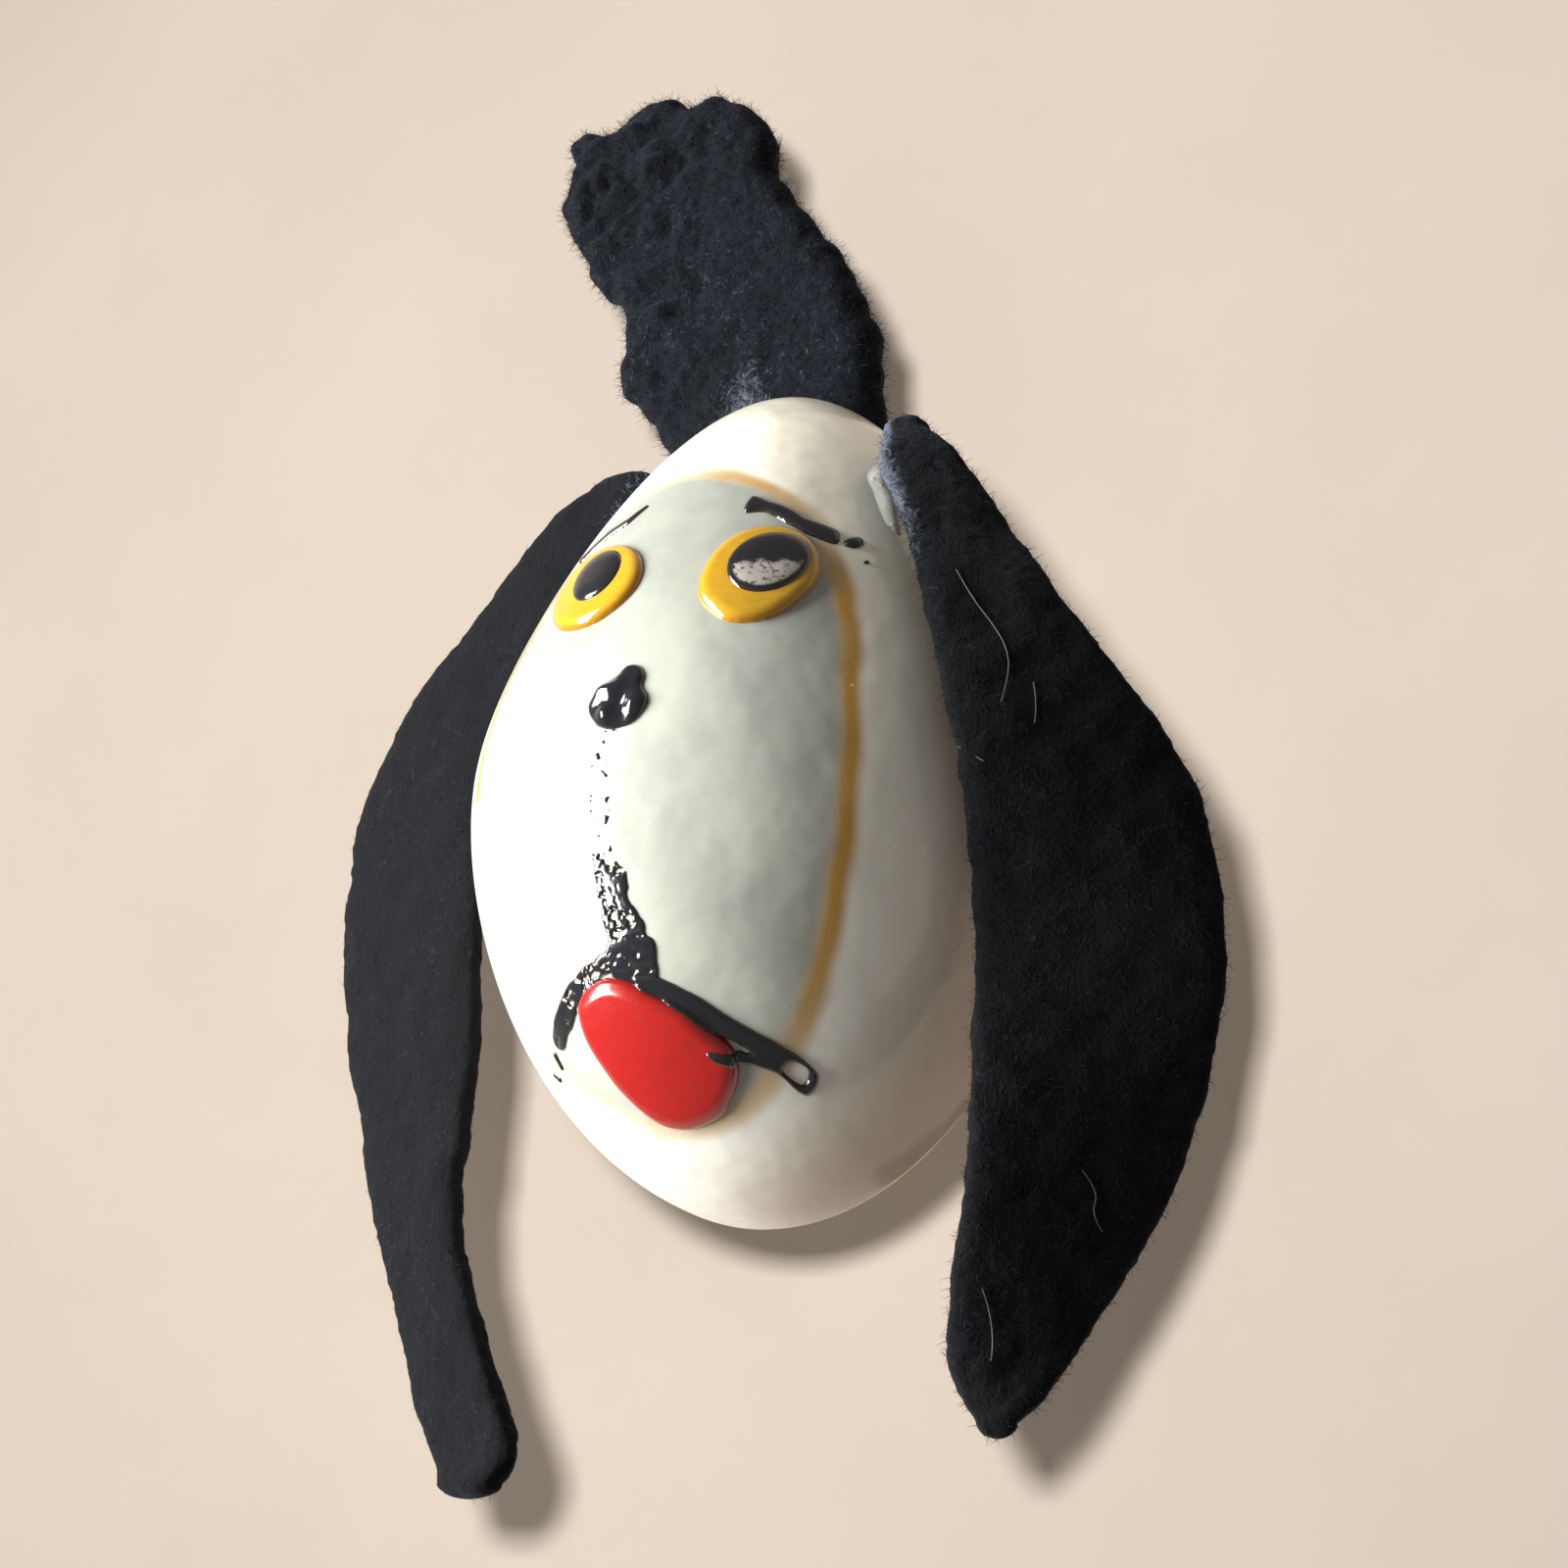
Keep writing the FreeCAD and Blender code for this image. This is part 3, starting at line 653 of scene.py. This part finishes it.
# ---- ears ---------------------------------------------------------------------------------------
# Each ear is one long leaf cut from black craft felt about 1 mm thick, glued by its top to the side
# of the shell and hanging free below. Its cut edges are soft, and it ripples a little.
felt_thickness = 1.0
ear_bend_start, ear_bend_length = 3.5, 2.8     # below an ear's top, where its free part starts to swing
hang_z = -2.0
ear_levels_right = [
    (0.0, 3.3, 1.25, 1.3, 0), (0.6, 3.8, 1.14, 1.9, 5), (1.7, 4.5, 1.00, 2.6, 24),
    (3.7, 5.0, 0.96, 3.0, 31), (5.7, 5.6, 0.91, 3.7, 28), (7.7, 6.0, 0.96, 4.7, 34),
    (9.7, 6.2, 0.98, 6.0, 38), (11.7, 5.7, 0.88, 6.7, 37), (13.7, 4.9, 0.93, 6.7, 33),
    (15.7, 4.2, 0.78, 6.7, 30), (17.7, 4.3, 0.83, 6.6, 35), (19.7, 4.6, 0.93, 6.4, 41),
    (21.7, 4.5, 0.81, 5.8, 43), (23.7, 4.3, 0.52, 5.0, 43), (25.7, 3.8, 0.10, 3.8, 41),
    (27.0, 3.3, -0.07, 2.8, 30), (27.8, 2.9, 0.20, 1.9, 20), (28.2, 2.8, 0.45, 1.1, 20)]
ear_levels_left = [
    (0.0, 1.5, 0.75, 2.4, 8), (0.5, 1.5, 0.75, 3.2, 8), (1.2, 1.5, 0.75, 3.4, 9),
    (2.2, 1.5, 0.75, 3.6, 10), (3.6, 1.5, 0.75, 4.2, 12), (5.2, 1.5, 0.75, 5.2, 13),
    (7.0, 1.5, 0.75, 5.7, 14), (9.0, 1.5, 0.75, 5.8, 14), (11.0, 1.5, 0.75, 6.0, 16),
    (13.0, 1.5, 0.75, 6.3, 16), (15.0, 1.5, 0.75, 6.1, 18), (17.0, 1.5, 0.70, 5.8, 18),
    (19.0, 1.5, 0.90, 4.9, 20), (21.0, 1.7, 0.86, 4.1, 20), (23.0, 1.9, 0.46, 3.6, 21),
    (25.0, 2.2, -0.27, 3.4, 21), (27.0, 2.4, -1.19, 3.6, 21), (28.6, 2.5, -2.02, 3.8, 22),
    (29.5, 2.6, -2.14, 3.2, 22), (30.0, 2.7, -1.58, 2.2, 22)]
# each ear: its side, the height of its top, its levels, its hanging edge, and a point on its bend
ear_cut = {"right": (1, crown - 2.8, np.array(ear_levels_right), 5.7, (7.87, -6.75)),
           "left": (-1, crown - 2.25, np.array(ear_levels_left), 1.5, (9.98, -3.13))}


def eased(values, passes=5):
    """Takes the corners off a row of numbers and keeps its ends."""
    values = np.array(values, float)
    for _ in range(passes):
        values[1:-1] = (values[:-2] + 2 * values[1:-1] + values[2:]) / 4
    return values


def ear_row(ear, drop):
    """An ear at one drop: x and y of its inner edge, its width and its sweep."""
    side, top, levels, hang_front, bend = ear
    front, stand, width, sweep = (np.interp(drop, levels[:, 0], levels[:, k]) for k in range(1, 5))
    z = top - drop
    reach = np.where(z > hang_z, front, hang_front)
    high = np.maximum(z, hang_z)
    deep = dorsum_height * full(high / crown, height_fullness) * (1 - height_taper * high / crown)
    x = shell_side(high) * np.sqrt(np.maximum(1 - (reach / deep) ** 2, 0)) + stand
    return side * x, margin_y - front, z, width, np.radians(sweep)


def tube_faces(count, turns):
    """The faces of a closed tube threaded through count rings of turns points each."""
    faces = []
    for i in range(count - 1):
        for j in range(turns):
            k = (j + 1) % turns
            faces.append([(i + 1) * turns + j, (i + 1) * turns + k, i * turns + k, i * turns + j])
    last = list(range((count - 1) * turns, count * turns))
    return faces + [list(range(turns)), last[::-1]]


def felt_leaf(ear, rows=190, turns=84, cap=6):
    """Points and faces of one ear: flattened rounded rings threaded from its top to its tip."""
    side, drop = ear[0], np.linspace(0, ear[2][-1, 0], rows)
    x, y, z, width, angle = (eased(row) for row in ear_row(ear, drop))
    inner = np.stack([x, y, z], 1)
    outward = np.stack([side * np.cos(angle), np.sin(angle), 0 * angle], 1)
    square = np.stack([-outward[:, 1], outward[:, 0], 0 * angle], 1)
    centre = inner + outward * width[:, None] / 2
    scale = np.ones(rows)
    grow = np.arange(1, cap + 1) / cap
    ends = np.sin(grow * math.pi / 2) * 0.4
    before = centre[:1] + np.outer(ends[::-1], (0, 0, 1))
    after = centre[-1:] - np.outer(ends, (0, 0, 1))
    small = np.maximum(np.cos(grow * math.pi / 2), 0.02)
    centre = np.concatenate([before, centre, after])
    scale = np.concatenate([small[::-1], scale, small])
    pad = lambda a: np.concatenate([np.repeat(a[:1], cap, 0), a, np.repeat(a[-1:], cap, 0)])
    outward, square, width, drops = pad(outward), pad(square), pad(width), pad(drop)
    turn = np.linspace(0, 2 * math.pi, turns, endpoint=False)
    lean = 3.2
    c, s = np.cos(turn), np.sin(turn)
    radius = (np.abs(c) ** lean + np.abs(s) ** lean) ** (-1 / lean)
    c, s = c * radius, s * radius
    half_w = (width / 2 * scale)[:, None]
    half_t = (felt_thickness / 2 * scale * np.minimum(1, 0.55 + width / 3))[:, None]
    points = (centre[:, None, :] + outward[:, None, :] * (c * half_w)[..., None]
              + square[:, None, :] * (s * half_t)[..., None])
    across = np.broadcast_to((c + 1) / 2, points.shape[:2])
    facing = outward[:, None, :] * c[None, :, None] + square[:, None, :] * s[None, :, None]
    count = len(centre)
    flat = points.reshape(-1, 3)
    facing = facing.reshape(-1, 3)
    lumps = [0.10 * noise.noise(Vector(p) * 0.9) + 0.05 * noise.noise(Vector(p) * 2.6)
             + 0.035 * noise.noise(Vector(p) * 6.5) for p in flat]
    ripple = [0.22 * noise.noise(Vector((p[0] * 0.12, p[1] * 0.12, p[2] * 0.22 + side))) for p in flat]
    ripple = np.array(ripple) * np.clip((np.repeat(drops, turns) - 5) / 8, 0, 1)
    flat = flat + facing * np.array(lumps)[:, None]
    flat = flat + np.repeat(square, turns, 0) * ripple[:, None]
    faces = tube_faces(count, turns)
    if side < 0:
        faces = [face[::-1] for face in faces]
    return flat, faces, across.ravel(), np.repeat(drops, turns)


def felt_group():
    """Matted felt: crossing fibres, lighter flecks, and a hard pale bluish layer that is partly set
    adhesive and partly painted sheen.
    """
    tree = bpy.data.node_groups.new("matted_felt", "ShaderNodeTree")
    socket_list(tree, "INPUT", Place="Vector", Colour="Color", Fleck_Colour="Color", Flecks="Float",
                Glue="Float")
    socket_list(tree, "OUTPUT", Colour="Color", Roughness="Float", Height="Float")
    given = tree.nodes.new("NodeGroupInput").outputs
    made = tree.nodes.new("NodeGroupOutput").inputs
    bent = add(tree, "ShaderNodeTexNoise", {"Vector": given["Place"], "Scale": 1.2}).outputs["Color"]
    bent = scaled(bent, 1.5)
    bent = add(tree, "ShaderNodeVectorMath", {0: given["Place"], 1: bent}, operation="ADD").outputs[0]
    fibres = None
    for stretch in ((9.0, 9.0, 1.6), (2.2, 8.0, 8.0), (8.0, 2.0, 6.0)):
        strand = mottle(scaled(bent, stretch), 0.8, 2.0, 0.6)
        fibres = strand if fibres is None else put("MAXIMUM", fibres, strand)
    pale = fade(fibres, 0.60, 0.80)
    patch = mottle(given["Place"], 0.35, 3.0)
    pale = put("*", put("*", pale, given["Flecks"]), fade(patch, 0.3, 0.7))
    colour = tint(pale, given["Colour"], given["Fleck Colour"])
    crust_and_sheen = put("+", given["Glue"], put("*", put("-", fibres, 0.62), 1.6))
    crust_and_sheen = put("*", fade(crust_and_sheen, 0.35, 0.95), fade(given["Glue"], 0.02, 0.2))
    tree.links.new(tint(put("*", crust_and_sheen, 0.75), colour, (0.11, 0.13, 0.17)), made[0])
    tree.links.new(put("-", 0.95, put("*", crust_and_sheen, 0.4)), made[1])
    tree.links.new(put("+", fibres, put("*", patch, 0.5)), made[2])
    return tree


felt_tree = felt_group()


def felt(name, colour, fleck_colour, flecks_share):
    material, tree, shader, place = new_finish(name)
    sheen_and_glue_share = add(tree, "ShaderNodeAttribute", attribute_name="glue_and_sheen").outputs["Fac"]
    made = add(tree, "ShaderNodeGroup", {
        "Place": place, "Colour": (*colour, 1), "Fleck Colour": (*fleck_colour, 1),
        "Flecks": flecks_share, "Glue": sheen_and_glue_share}, node_tree=felt_tree).outputs
    feed(shader, {"Base Color": made["Colour"], "Roughness": made["Roughness"],
                  "Normal": relief(made["Height"], 0.7, 0.00012), "Sheen Weight": 0.07,
                  "Sheen Roughness": 0.4, "Sheen Tint": (0.45, 0.55, 0.75, 1),
                  "Specular IOR Level": 0.12})
    return material


black_felt = felt("black_felt", (0.0036, 0.0039, 0.005), (0.030, 0.034, 0.044), 0.5)
nap_felt = felt("black_felt_nap", (0.006, 0.0066, 0.0085), (0.036, 0.042, 0.056), 0.6)


def nap_rule():
    """The geometry tree for loose felt fibres: short tapered hairs lying every way on a surface."""
    tree, given, made = making_tree("felt_nap", {"Per Square Millimetre": 30.0,
                                                 "Fibre Length": 0.2, "Fibre Radius": 0.008,
                                                 "Lie": 1.42, "Seed": 1})
    spread = add(tree, "GeometryNodeDistributePointsOnFaces", {
        "Mesh": given["Geometry"], "Seed": given["Seed"],
        "Density": put("*", given["Per Square Millimetre"], 1e6)})
    fibre = add(tree, "GeometryNodeMeshCone", {
        "Vertices": 3, "Side Segments": 3, "Radius Top": put("*", given["Fibre Radius"],
                                                             0.25 * mm),
        "Radius Bottom": put("*", given["Fibre Radius"], mm),
        "Depth": put("*", given["Fibre Length"], mm)})
    spot = parts(add(tree, "GeometryNodeInputPosition").outputs[0])
    span = put("*", given["Fibre Length"], mm)
    rise = put("/", spot[2], span)
    bowed = put("*", put("*", rise, rise), put("*", span, 0.55))
    shift = add(tree, "ShaderNodeCombineXYZ", {0: bowed, 2: put("*", span, -0.06)}).outputs[0]
    fibre = add(tree, "GeometryNodeSetPosition", {"Geometry": fibre.outputs[0], "Offset": shift})
    low = add(tree, "ShaderNodeCombineXYZ", {0: put("*", given["Lie"], -1.0),
                                             1: put("*", given["Lie"], -1.0), 2: -3.14})
    high = add(tree, "ShaderNodeCombineXYZ", {0: given["Lie"], 1: given["Lie"], 2: 3.14})
    tilt = add(tree, "FunctionNodeRandomValue", data_type="FLOAT_VECTOR")
    tree.links.new(low.outputs[0], tilt.inputs[0])
    tree.links.new(high.outputs[0], tilt.inputs[1])
    tilt.inputs["Seed"].default_value = 7
    aimed = add(tree, "FunctionNodeRotateRotation", {"Rotation": spread.outputs["Rotation"],
                                                     "Rotate By": tilt.outputs[0]},
                rotation_space="LOCAL")
    size = add(tree, "FunctionNodeRandomValue", data_type="FLOAT")
    size.inputs[2].default_value, size.inputs[3].default_value = 0.45, 1.5
    size.inputs["Seed"].default_value = 3
    sown = add(tree, "GeometryNodeInstanceOnPoints", {
        "Points": spread.outputs[0], "Instance": fibre.outputs[0],
        "Rotation": aimed.outputs[0], "Scale": size.outputs[1]})
    real = add(tree, "GeometryNodeRealizeInstances", {0: sown.outputs[0]})
    end = add(tree, "GeometryNodeSetMaterial", {"Geometry": real.outputs[0], "Material": nap_felt})
    tree.links.new(end.outputs[0], made)
    return tree


nap_tree = nap_rule()
ears = {}
for side, ear_shape in ear_cut.items():
    hand, bend = ear_shape[0], ear_shape[4]
    points, faces, across, drops = felt_leaf(ear_shape)
    top_share = np.clip((6.5 - drops) / 5, 0, 1)
    inner_edge = np.clip((0.34 - across) / 0.3, 0, 1)
    further_down = np.clip((20 - drops) / 12, 0, 1)
    top_end = np.clip((1.2 - drops) / 1.2, 0, 1)
    # partly set adhesive and partly painted sheen: a pale band along each ear's top and inner edge,
    # stronger on the right ear, whose inner edge faces the window
    glue_and_sheen = top_share * inner_edge * 0.95 + 0.18 * inner_edge * further_down + 0.5 * top_end
    glue_and_sheen = np.clip(glue_and_sheen, 0, 1) * (0.9 if side == "right" else 0.5)
    ear = as_piece("ear_" + side, points, faces, black_felt, {"glue_and_sheen": glue_and_sheen})
    fuzz = worked_out("ear_nap_" + side, nap_tree, ear.data, per_square_millimetre=34.0,
                      seed=11 if side == "right" else 12)
    fuzz.data.shade_smooth()
    high = ear_shape[1] - ear_bend_start
    top, low = (Vector((hand * bend[0], bend[1], z)) * mm for z in (high, high - ear_bend_length))
    for piece in (ear, fuzz):
        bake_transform(piece)
    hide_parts("ear_root_" + side, "ear_flap_" + side)
    ears[side] = ear, top, low


# ---- loose hairs --------------------------------------------------------------------------------
# A few stray pale fibres and hairs cling to the felt of the right ear.
hair_paths = [[(7.70, 4.3), (8.2, 3.4), (8.8, 2.6), (9.25, 1.85), (9.34, 1.1), (9.26, 0.2)],
              [(7.6, -0.5), (8.15, -1.0), (8.85, -1.45)],
              [(10.6, -12.0), (10.9, -12.5), (10.7, -13.1), (10.9, -13.5)],
              [(8.3, -15.2), (8.5, -16.1), (8.35, -17.0)],
              [(9.9, 0.9), (10.05, 0.3), (10.0, -0.3)]]
hair_radius = 0.017
hair_finish, tree, shader, place = new_finish("pale_hair")
shade = mottle(place, 1.5, 3.0)
feed(shader, {"Base Color": tint(shade, (0.03, 0.026, 0.027), (0.10, 0.083, 0.078)), "Roughness": 0.5})
right_ear, bend_top, bend_low = ears["right"]
ear_skin = BVHTree.FromPolygons([v.co for v in right_ear.data.vertices],
                                [p.vertices for p in right_ear.data.polygons])
hair_curve = bpy.data.curves.new("loose_hairs", "CURVE")
hair_curve.dimensions = "3D"
hair_curve.bevel_depth = hair_radius * mm
hair_curve.bevel_resolution = 1
hair_curve.resolution_u = 6
hair_curve.use_fill_caps = True
for path in hair_paths:
    spline = hair_curve.splines.new("NURBS")
    spots = []
    for x, z in path:
        hit = ear_skin.ray_cast(Vector((x * mm, -0.03, z * mm)), Vector((0, 1, 0)))[0]
        if hit is not None:
            spots.append(hit + Vector((0, -0.00006, 0)))
    spline.points.add(len(spots) - 1)
    for point, spot in zip(spline.points, spots):
        point.co = (*spot, 1)
    spline.order_u = 3
    spline.use_endpoint_u = True
hair_maker = in_scene("hair_maker", hair_curve)
hair_mesh = plain_mesh(hair_maker)
bpy.data.objects.remove(hair_maker)
hair_mesh.materials.clear()
hair_mesh.materials.append(hair_finish)
hairs = in_scene("loose_hairs", hair_mesh)
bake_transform(hairs)


# ---- topknot ------------------------------------------------------------------------------------
# The topknot is a torn, matted tuft of the same black felt, lumpy on one side. Its foot is glued
# behind the crown of the shell, and it leans to one side.
knot_line = [(1.9, 9.1), (2.5, 11.2), (2.3, 12.0), (2.0, 12.9), (1.9, 14.1), (1.8, 15.1), (1.4, 16.1),
             (0.9, 17.1), (0.1, 18.4), (-0.7, 19.5), (-1.5, 20.6), (-2.0, 21.6), (-2.0, 22.4),
             (-2.4, 23.1), (-3.0, 23.7), (-3.6, 24.05), (-4.2, 24.35), (-4.8, 24.2), (-5.2, 24.15),
             (-5.7, 24.5), (-6.3, 24.5), (-7.0, 24.3), (-7.6, 23.9), (-8.1, 23.75), (-8.9, 23.9),
             (-9.4, 23.5), (-9.3, 22.7), (-9.5, 21.9), (-9.55, 21.1), (-9.1, 20.1), (-8.5, 19.2),
             (-8.4, 18.7), (-8.0, 18.0), (-7.3, 17.5), (-7.0, 16.9), (-7.0, 16.2), (-7.1, 15.2),
             (-7.0, 14.5), (-6.0, 13.4), (-5.5, 12.6), (-4.6, 11.4), (-3.7, 9.1)]
knot_middle_y, knot_half_thickness = -1.12, 0.98
bluish_felt = felt("bluish_felt", (0.0034, 0.0043, 0.0066), (0.036, 0.050, 0.078), 0.85)
knot_field = inside_loop(smooth_loop(knot_line, 4), 0.16, 1.3, 21.0)
flat, faces, rim, depth = closed_skin(knot_field, around(knot_line, 0.6), 0.115)
x, z = flat[:, 0], flat[:, 1]
swell = np.sqrt(np.clip(1 - (1 - np.clip(depth / 0.95, 0, 1)) ** 2, 0, 1))
valleys = 0.5 + 0.5 * flecks(x, z, 0.55, 31.0)
knots = np.abs(flecks(x, z, 0.75, 33.0)) * 1.6 + np.abs(flecks(x, z, 1.7, 35.0)) * 0.7
lump_share = np.clip((-x - 1.5) / 4.5, 0.25, 1)
front_height = swell * (knot_half_thickness * (0.82 + 0.25 * valleys)
                        - 0.34 * lump_share * (0.9 - knots) + 0.06 * flecks(x, z, 3.4, 37.0))
back_height = swell * (knot_half_thickness * 0.96 - 0.12 * np.abs(flecks(x, z, 1.3, 39.0)))
front_y = knot_middle_y - front_height
back_y = knot_middle_y + back_height
t = np.clip(z / crown, -1, 1)
behind = base_bulge * full(t, height_fullness)
beside = np.clip(np.abs(x) / np.maximum(shell_side(z), 1e-6), 0, 1)
shell_back = margin_y + behind * (1 - beside ** base_squareness) ** (1 / base_squareness)
over_shell = (z < crown) & (np.abs(x) < shell_side(z))
on_the_shell = np.minimum(shell_back + 0.01, back_y - 0.05)
front_y = np.where(over_shell, np.maximum(front_y, on_the_shell), front_y)
count = len(x)
skin = np.concatenate([np.stack([x, front_y, z], 1), np.stack([x, back_y, z], 1)])
sides = [[b, a, a + count, b + count] for a, b in rim]
# partly set adhesive and partly painted sheen: a pale patch at the topknot's foot
glue_and_sheen = np.exp(-((x + 2.3) / 1.3) ** 2 - ((z - 13.2) / 1.7) ** 2) * 0.7
knot = as_piece("topknot_felt", skin, faces + [[p + count for p in f[::-1]] for f in faces] + sides,
                bluish_felt, {"glue_and_sheen": np.concatenate([glue_and_sheen, 0.3 * glue_and_sheen])})
knot_fuzz = worked_out("topknot_nap", nap_tree, knot.data, per_square_millimetre=60.0, seed=21,
                       fibre_length=0.26)
knot_fuzz.data.shade_smooth()
for piece in (knot, knot_fuzz):
    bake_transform(piece)
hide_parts("topknot", "topknot_root")


# ---- glue ---------------------------------------------------------------------------------------
# Clear craft glue, set hard and a little cloudy: a bead down the back of each ear's glued edge, and
# a blob at the foot of the topknot where it meets the crown.
def glue_lump(name, node, rings, seed):
    """A closed lumpy blob threaded through rings of (centre, radius, x squash, y squash)."""
    turns = 28
    points = []
    for centre, radius, wide, deep in rings:
        centre = Vector(centre)
        for k in range(turns):
            turn = 2 * math.pi * k / turns
            spot = centre + Vector((math.cos(turn) * wide, math.sin(turn) * deep, 0)) * radius
            lump = noise.noise(spot * 1.1 + Vector((seed, 0, 0)))
            points.append(spot + (spot - centre) * 0.3 * lump)
    piece = as_piece(name, points, tube_faces(len(rings), turns), glue_finish)
    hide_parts(node)
    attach(piece, "head")


glue_finish, tree, shader, place = new_finish("set_glue")
cloud = mottle(place, 0.9, 4.0, 0.6)
bubbles = add(tree, "ShaderNodeTexVoronoi", {"Vector": place, "Scale": 3.0}).outputs["Distance"]
height = put("+", put("*", cloud, 0.7), put("*", fade(bubbles, 0.25, 0.1), 0.3))
feed(shader, {
    "Base Color": tint(fade(cloud, 0.35, 0.7), (0.44, 0.45, 0.40), (0.58, 0.59, 0.54)),
    "Roughness": put("+", 0.22, put("*", cloud, 0.25)), "Normal": relief(height, 0.5, 0.0002),
    "Transmission Weight": 0.15, "Subsurface Weight": 0.2, "Subsurface Scale": 0.0008})

bead_radius, bead_length, bead_steps = 0.44, 3.4, 22
for side, ear_shape in ear_cut.items():
    hand, top = ear_shape[:2]
    rings = []
    for k in range(bead_steps + 1):
        share = k / bead_steps
        x, y, z, width, angle = ear_row(ear_shape, 0.5 + bead_length * share)
        swell = math.sqrt(max(0.004, 1 - (2 * share - 1) ** 4))
        radius = bead_radius * swell * (0.75 + 0.25 * math.sin(math.pi * share))
        centre = (x - hand * (0.2 + 1.0 * math.sin(angle)), y + 1.0 * math.cos(angle), z)
        rings.append((centre, radius, 1, 1))
    glue_lump("ear_glue_" + side, "ear_glue_" + side, rings, 3.0 * hand)
blob_x, blob_y, blob_z, blob_radius = -0.9, -1.95, 11.95, 1.05
rings = []
for k in range(bead_steps + 1):
    turn = math.pi * k / bead_steps
    centre = (blob_x, blob_y, blob_z + blob_radius * math.cos(turn))
    rings.append((centre, max(0.05, blob_radius * math.sin(turn)), 1.15, 0.9))
glue_lump("topknot_glue", "topknot_glue", rings, 9.0)


# ---- table, light and camera --------------------------------------------------------------------
# A plain pale card stands behind the head, along its flat side. A broad window is at the left, and
# the camera looks at the face from the chin's side and a little to the right.
def camera_axes(azimuth, elevation, roll):
    """Directions across, up and back towards a camera set by three angles in degrees."""
    a, e, r = (math.radians(value) for value in (azimuth, elevation, roll))
    back = Vector((math.sin(a) * math.cos(e), -math.cos(a) * math.cos(e), math.sin(e)))
    right = Vector((math.cos(a), math.sin(a), 0))
    up = back.cross(right)
    return right * math.cos(r) + up * math.sin(r), up * math.cos(r) - right * math.sin(r), back


across, upward, back = camera_axes(azimuth=27.78, elevation=-17.5, roll=2.44)
shell_middle, camera_away = Vector((0, -5.2, 0)), 104.44
aim = (shell_middle + across * 1.188 - upward * 0.257) * mm
camera = in_scene("camera", bpy.data.cameras.new("camera"))
camera.data.sensor_width = 36
camera.data.lens = 84.29
camera.data.clip_start, camera.data.clip_end = 0.002, 5
turned = Matrix((across, upward, back)).transposed().to_4x4()
camera.matrix_world = Matrix.Translation(aim + back * camera_away * mm) @ turned
bpy.context.scene.camera = camera

card_half, card_behind = 500.0, 6.2
corners = [Vector((i * card_half, card_behind, j * card_half)) * mm
           for i, j in ((-1, -1), (1, -1), (1, 1), (-1, 1))]
card_mesh = bpy.data.meshes.new("table_card")
card_mesh.from_pydata(corners, [], [(0, 1, 2, 3)])
card = in_scene("table_card", card_mesh)
card_finish, tree, shader, place = new_finish("table_card")
paper = mottle(place, 0.10, 5.0, 0.6)
tone = tint(fade(paper, 0.3, 0.7), (0.775, 0.67, 0.565), (0.80, 0.695, 0.59))
x, y, z = parts(place)
# painted light: the card is painted lighter towards -x and towards the top, which evens out the uneven
# light the card lamp throws on it
painted_light_evening = put("+", put("+", 0.86, put("*", x, -0.0066)), put("*", z, 0.0035))
painted_light_evening = put("MINIMUM", put("MAXIMUM", painted_light_evening, 0.6), 1.2)
# painted light: the card also glows faintly, which lightens the shadows cast on it
feed(shader, {"Base Color": scaled(tone, painted_light_evening), "Roughness": 0.9, "Specular IOR Level": 0.1,
              "Emission Color": (0.77, 0.67, 0.57, 1), "Emission Strength": 0.08})
clear = tree.nodes.new("ShaderNodeBsdfTransparent")
seen_from_behind = add(tree, "ShaderNodeNewGeometry").outputs["Backfacing"]
light_path = tree.nodes.new("ShaderNodeLightPath")
open_share = put("MAXIMUM", seen_from_behind, light_path.outputs["Is Shadow Ray"])
mixed = add(tree, "ShaderNodeMixShader", {0: open_share, 1: shader.outputs[0], 2: clear.outputs[0]})
output = next(node for node in tree.nodes if node.type == "OUTPUT_MATERIAL")
tree.links.new(mixed.outputs[0], output.inputs["Surface"])
card_mesh.materials.append(card_finish)

card_only = bpy.data.collections.new("lit_card")
card_only.objects.link(card)
all_but_card = bpy.data.collections.new("lit_head")
all_but_card.objects.link(card)
all_but_card.collection_objects[0].light_linking.link_state = "EXCLUDE"


def soft_light(name, place, size, power, colour, on=None):
    """A rectangular lamp at a place given in camera axes and millimetres, turned to the head."""
    light = bpy.data.lights.new(name, "AREA")
    light.shape = "RECTANGLE"
    light.size, light.size_y = size[0] * mm, size[1] * mm
    light.energy = power
    light.color = colour
    lamp = in_scene(name, light)
    spot = aim + (across * place[0] + upward * place[1] + back * place[2]) * mm
    turned = (spot - aim).to_track_quat("Z", "Y").to_matrix().to_4x4()
    lamp.matrix_world = Matrix.Translation(spot) @ turned
    if on:
        lamp.light_linking.receiver_collection = on
    return lamp


soft_light("window", place=(-228, 34, 60), size=(130, 240), power=2.6, colour=(1.0, 1.0, 0.97),
           on=all_but_card)
soft_light("card_light", place=(-15.5, 17, 118), size=(11, 11), power=0.168,
           colour=(1.0, 0.99, 0.985), on=card_only)

world = bpy.data.worlds.new("room")
bpy.context.scene.world = world
world.use_nodes = True
tree = world.node_tree
tree.nodes.clear()
seen = add(tree, "ShaderNodeBackground", {"Color": (0.77, 0.665, 0.56, 1), "Strength": 1.0})
felt_light = add(tree, "ShaderNodeBackground", {"Color": (0.80, 0.76, 0.70, 1), "Strength": 0.26})
path = tree.nodes.new("ShaderNodeLightPath")
both = add(tree, "ShaderNodeMixShader", {0: path.outputs["Is Camera Ray"], 1: felt_light.outputs[0],
                                         2: seen.outputs[0]})
add(tree, "ShaderNodeOutputWorld", {"Surface": both.outputs[0]})
bpy.context.scene.view_settings.view_transform = "Standard"
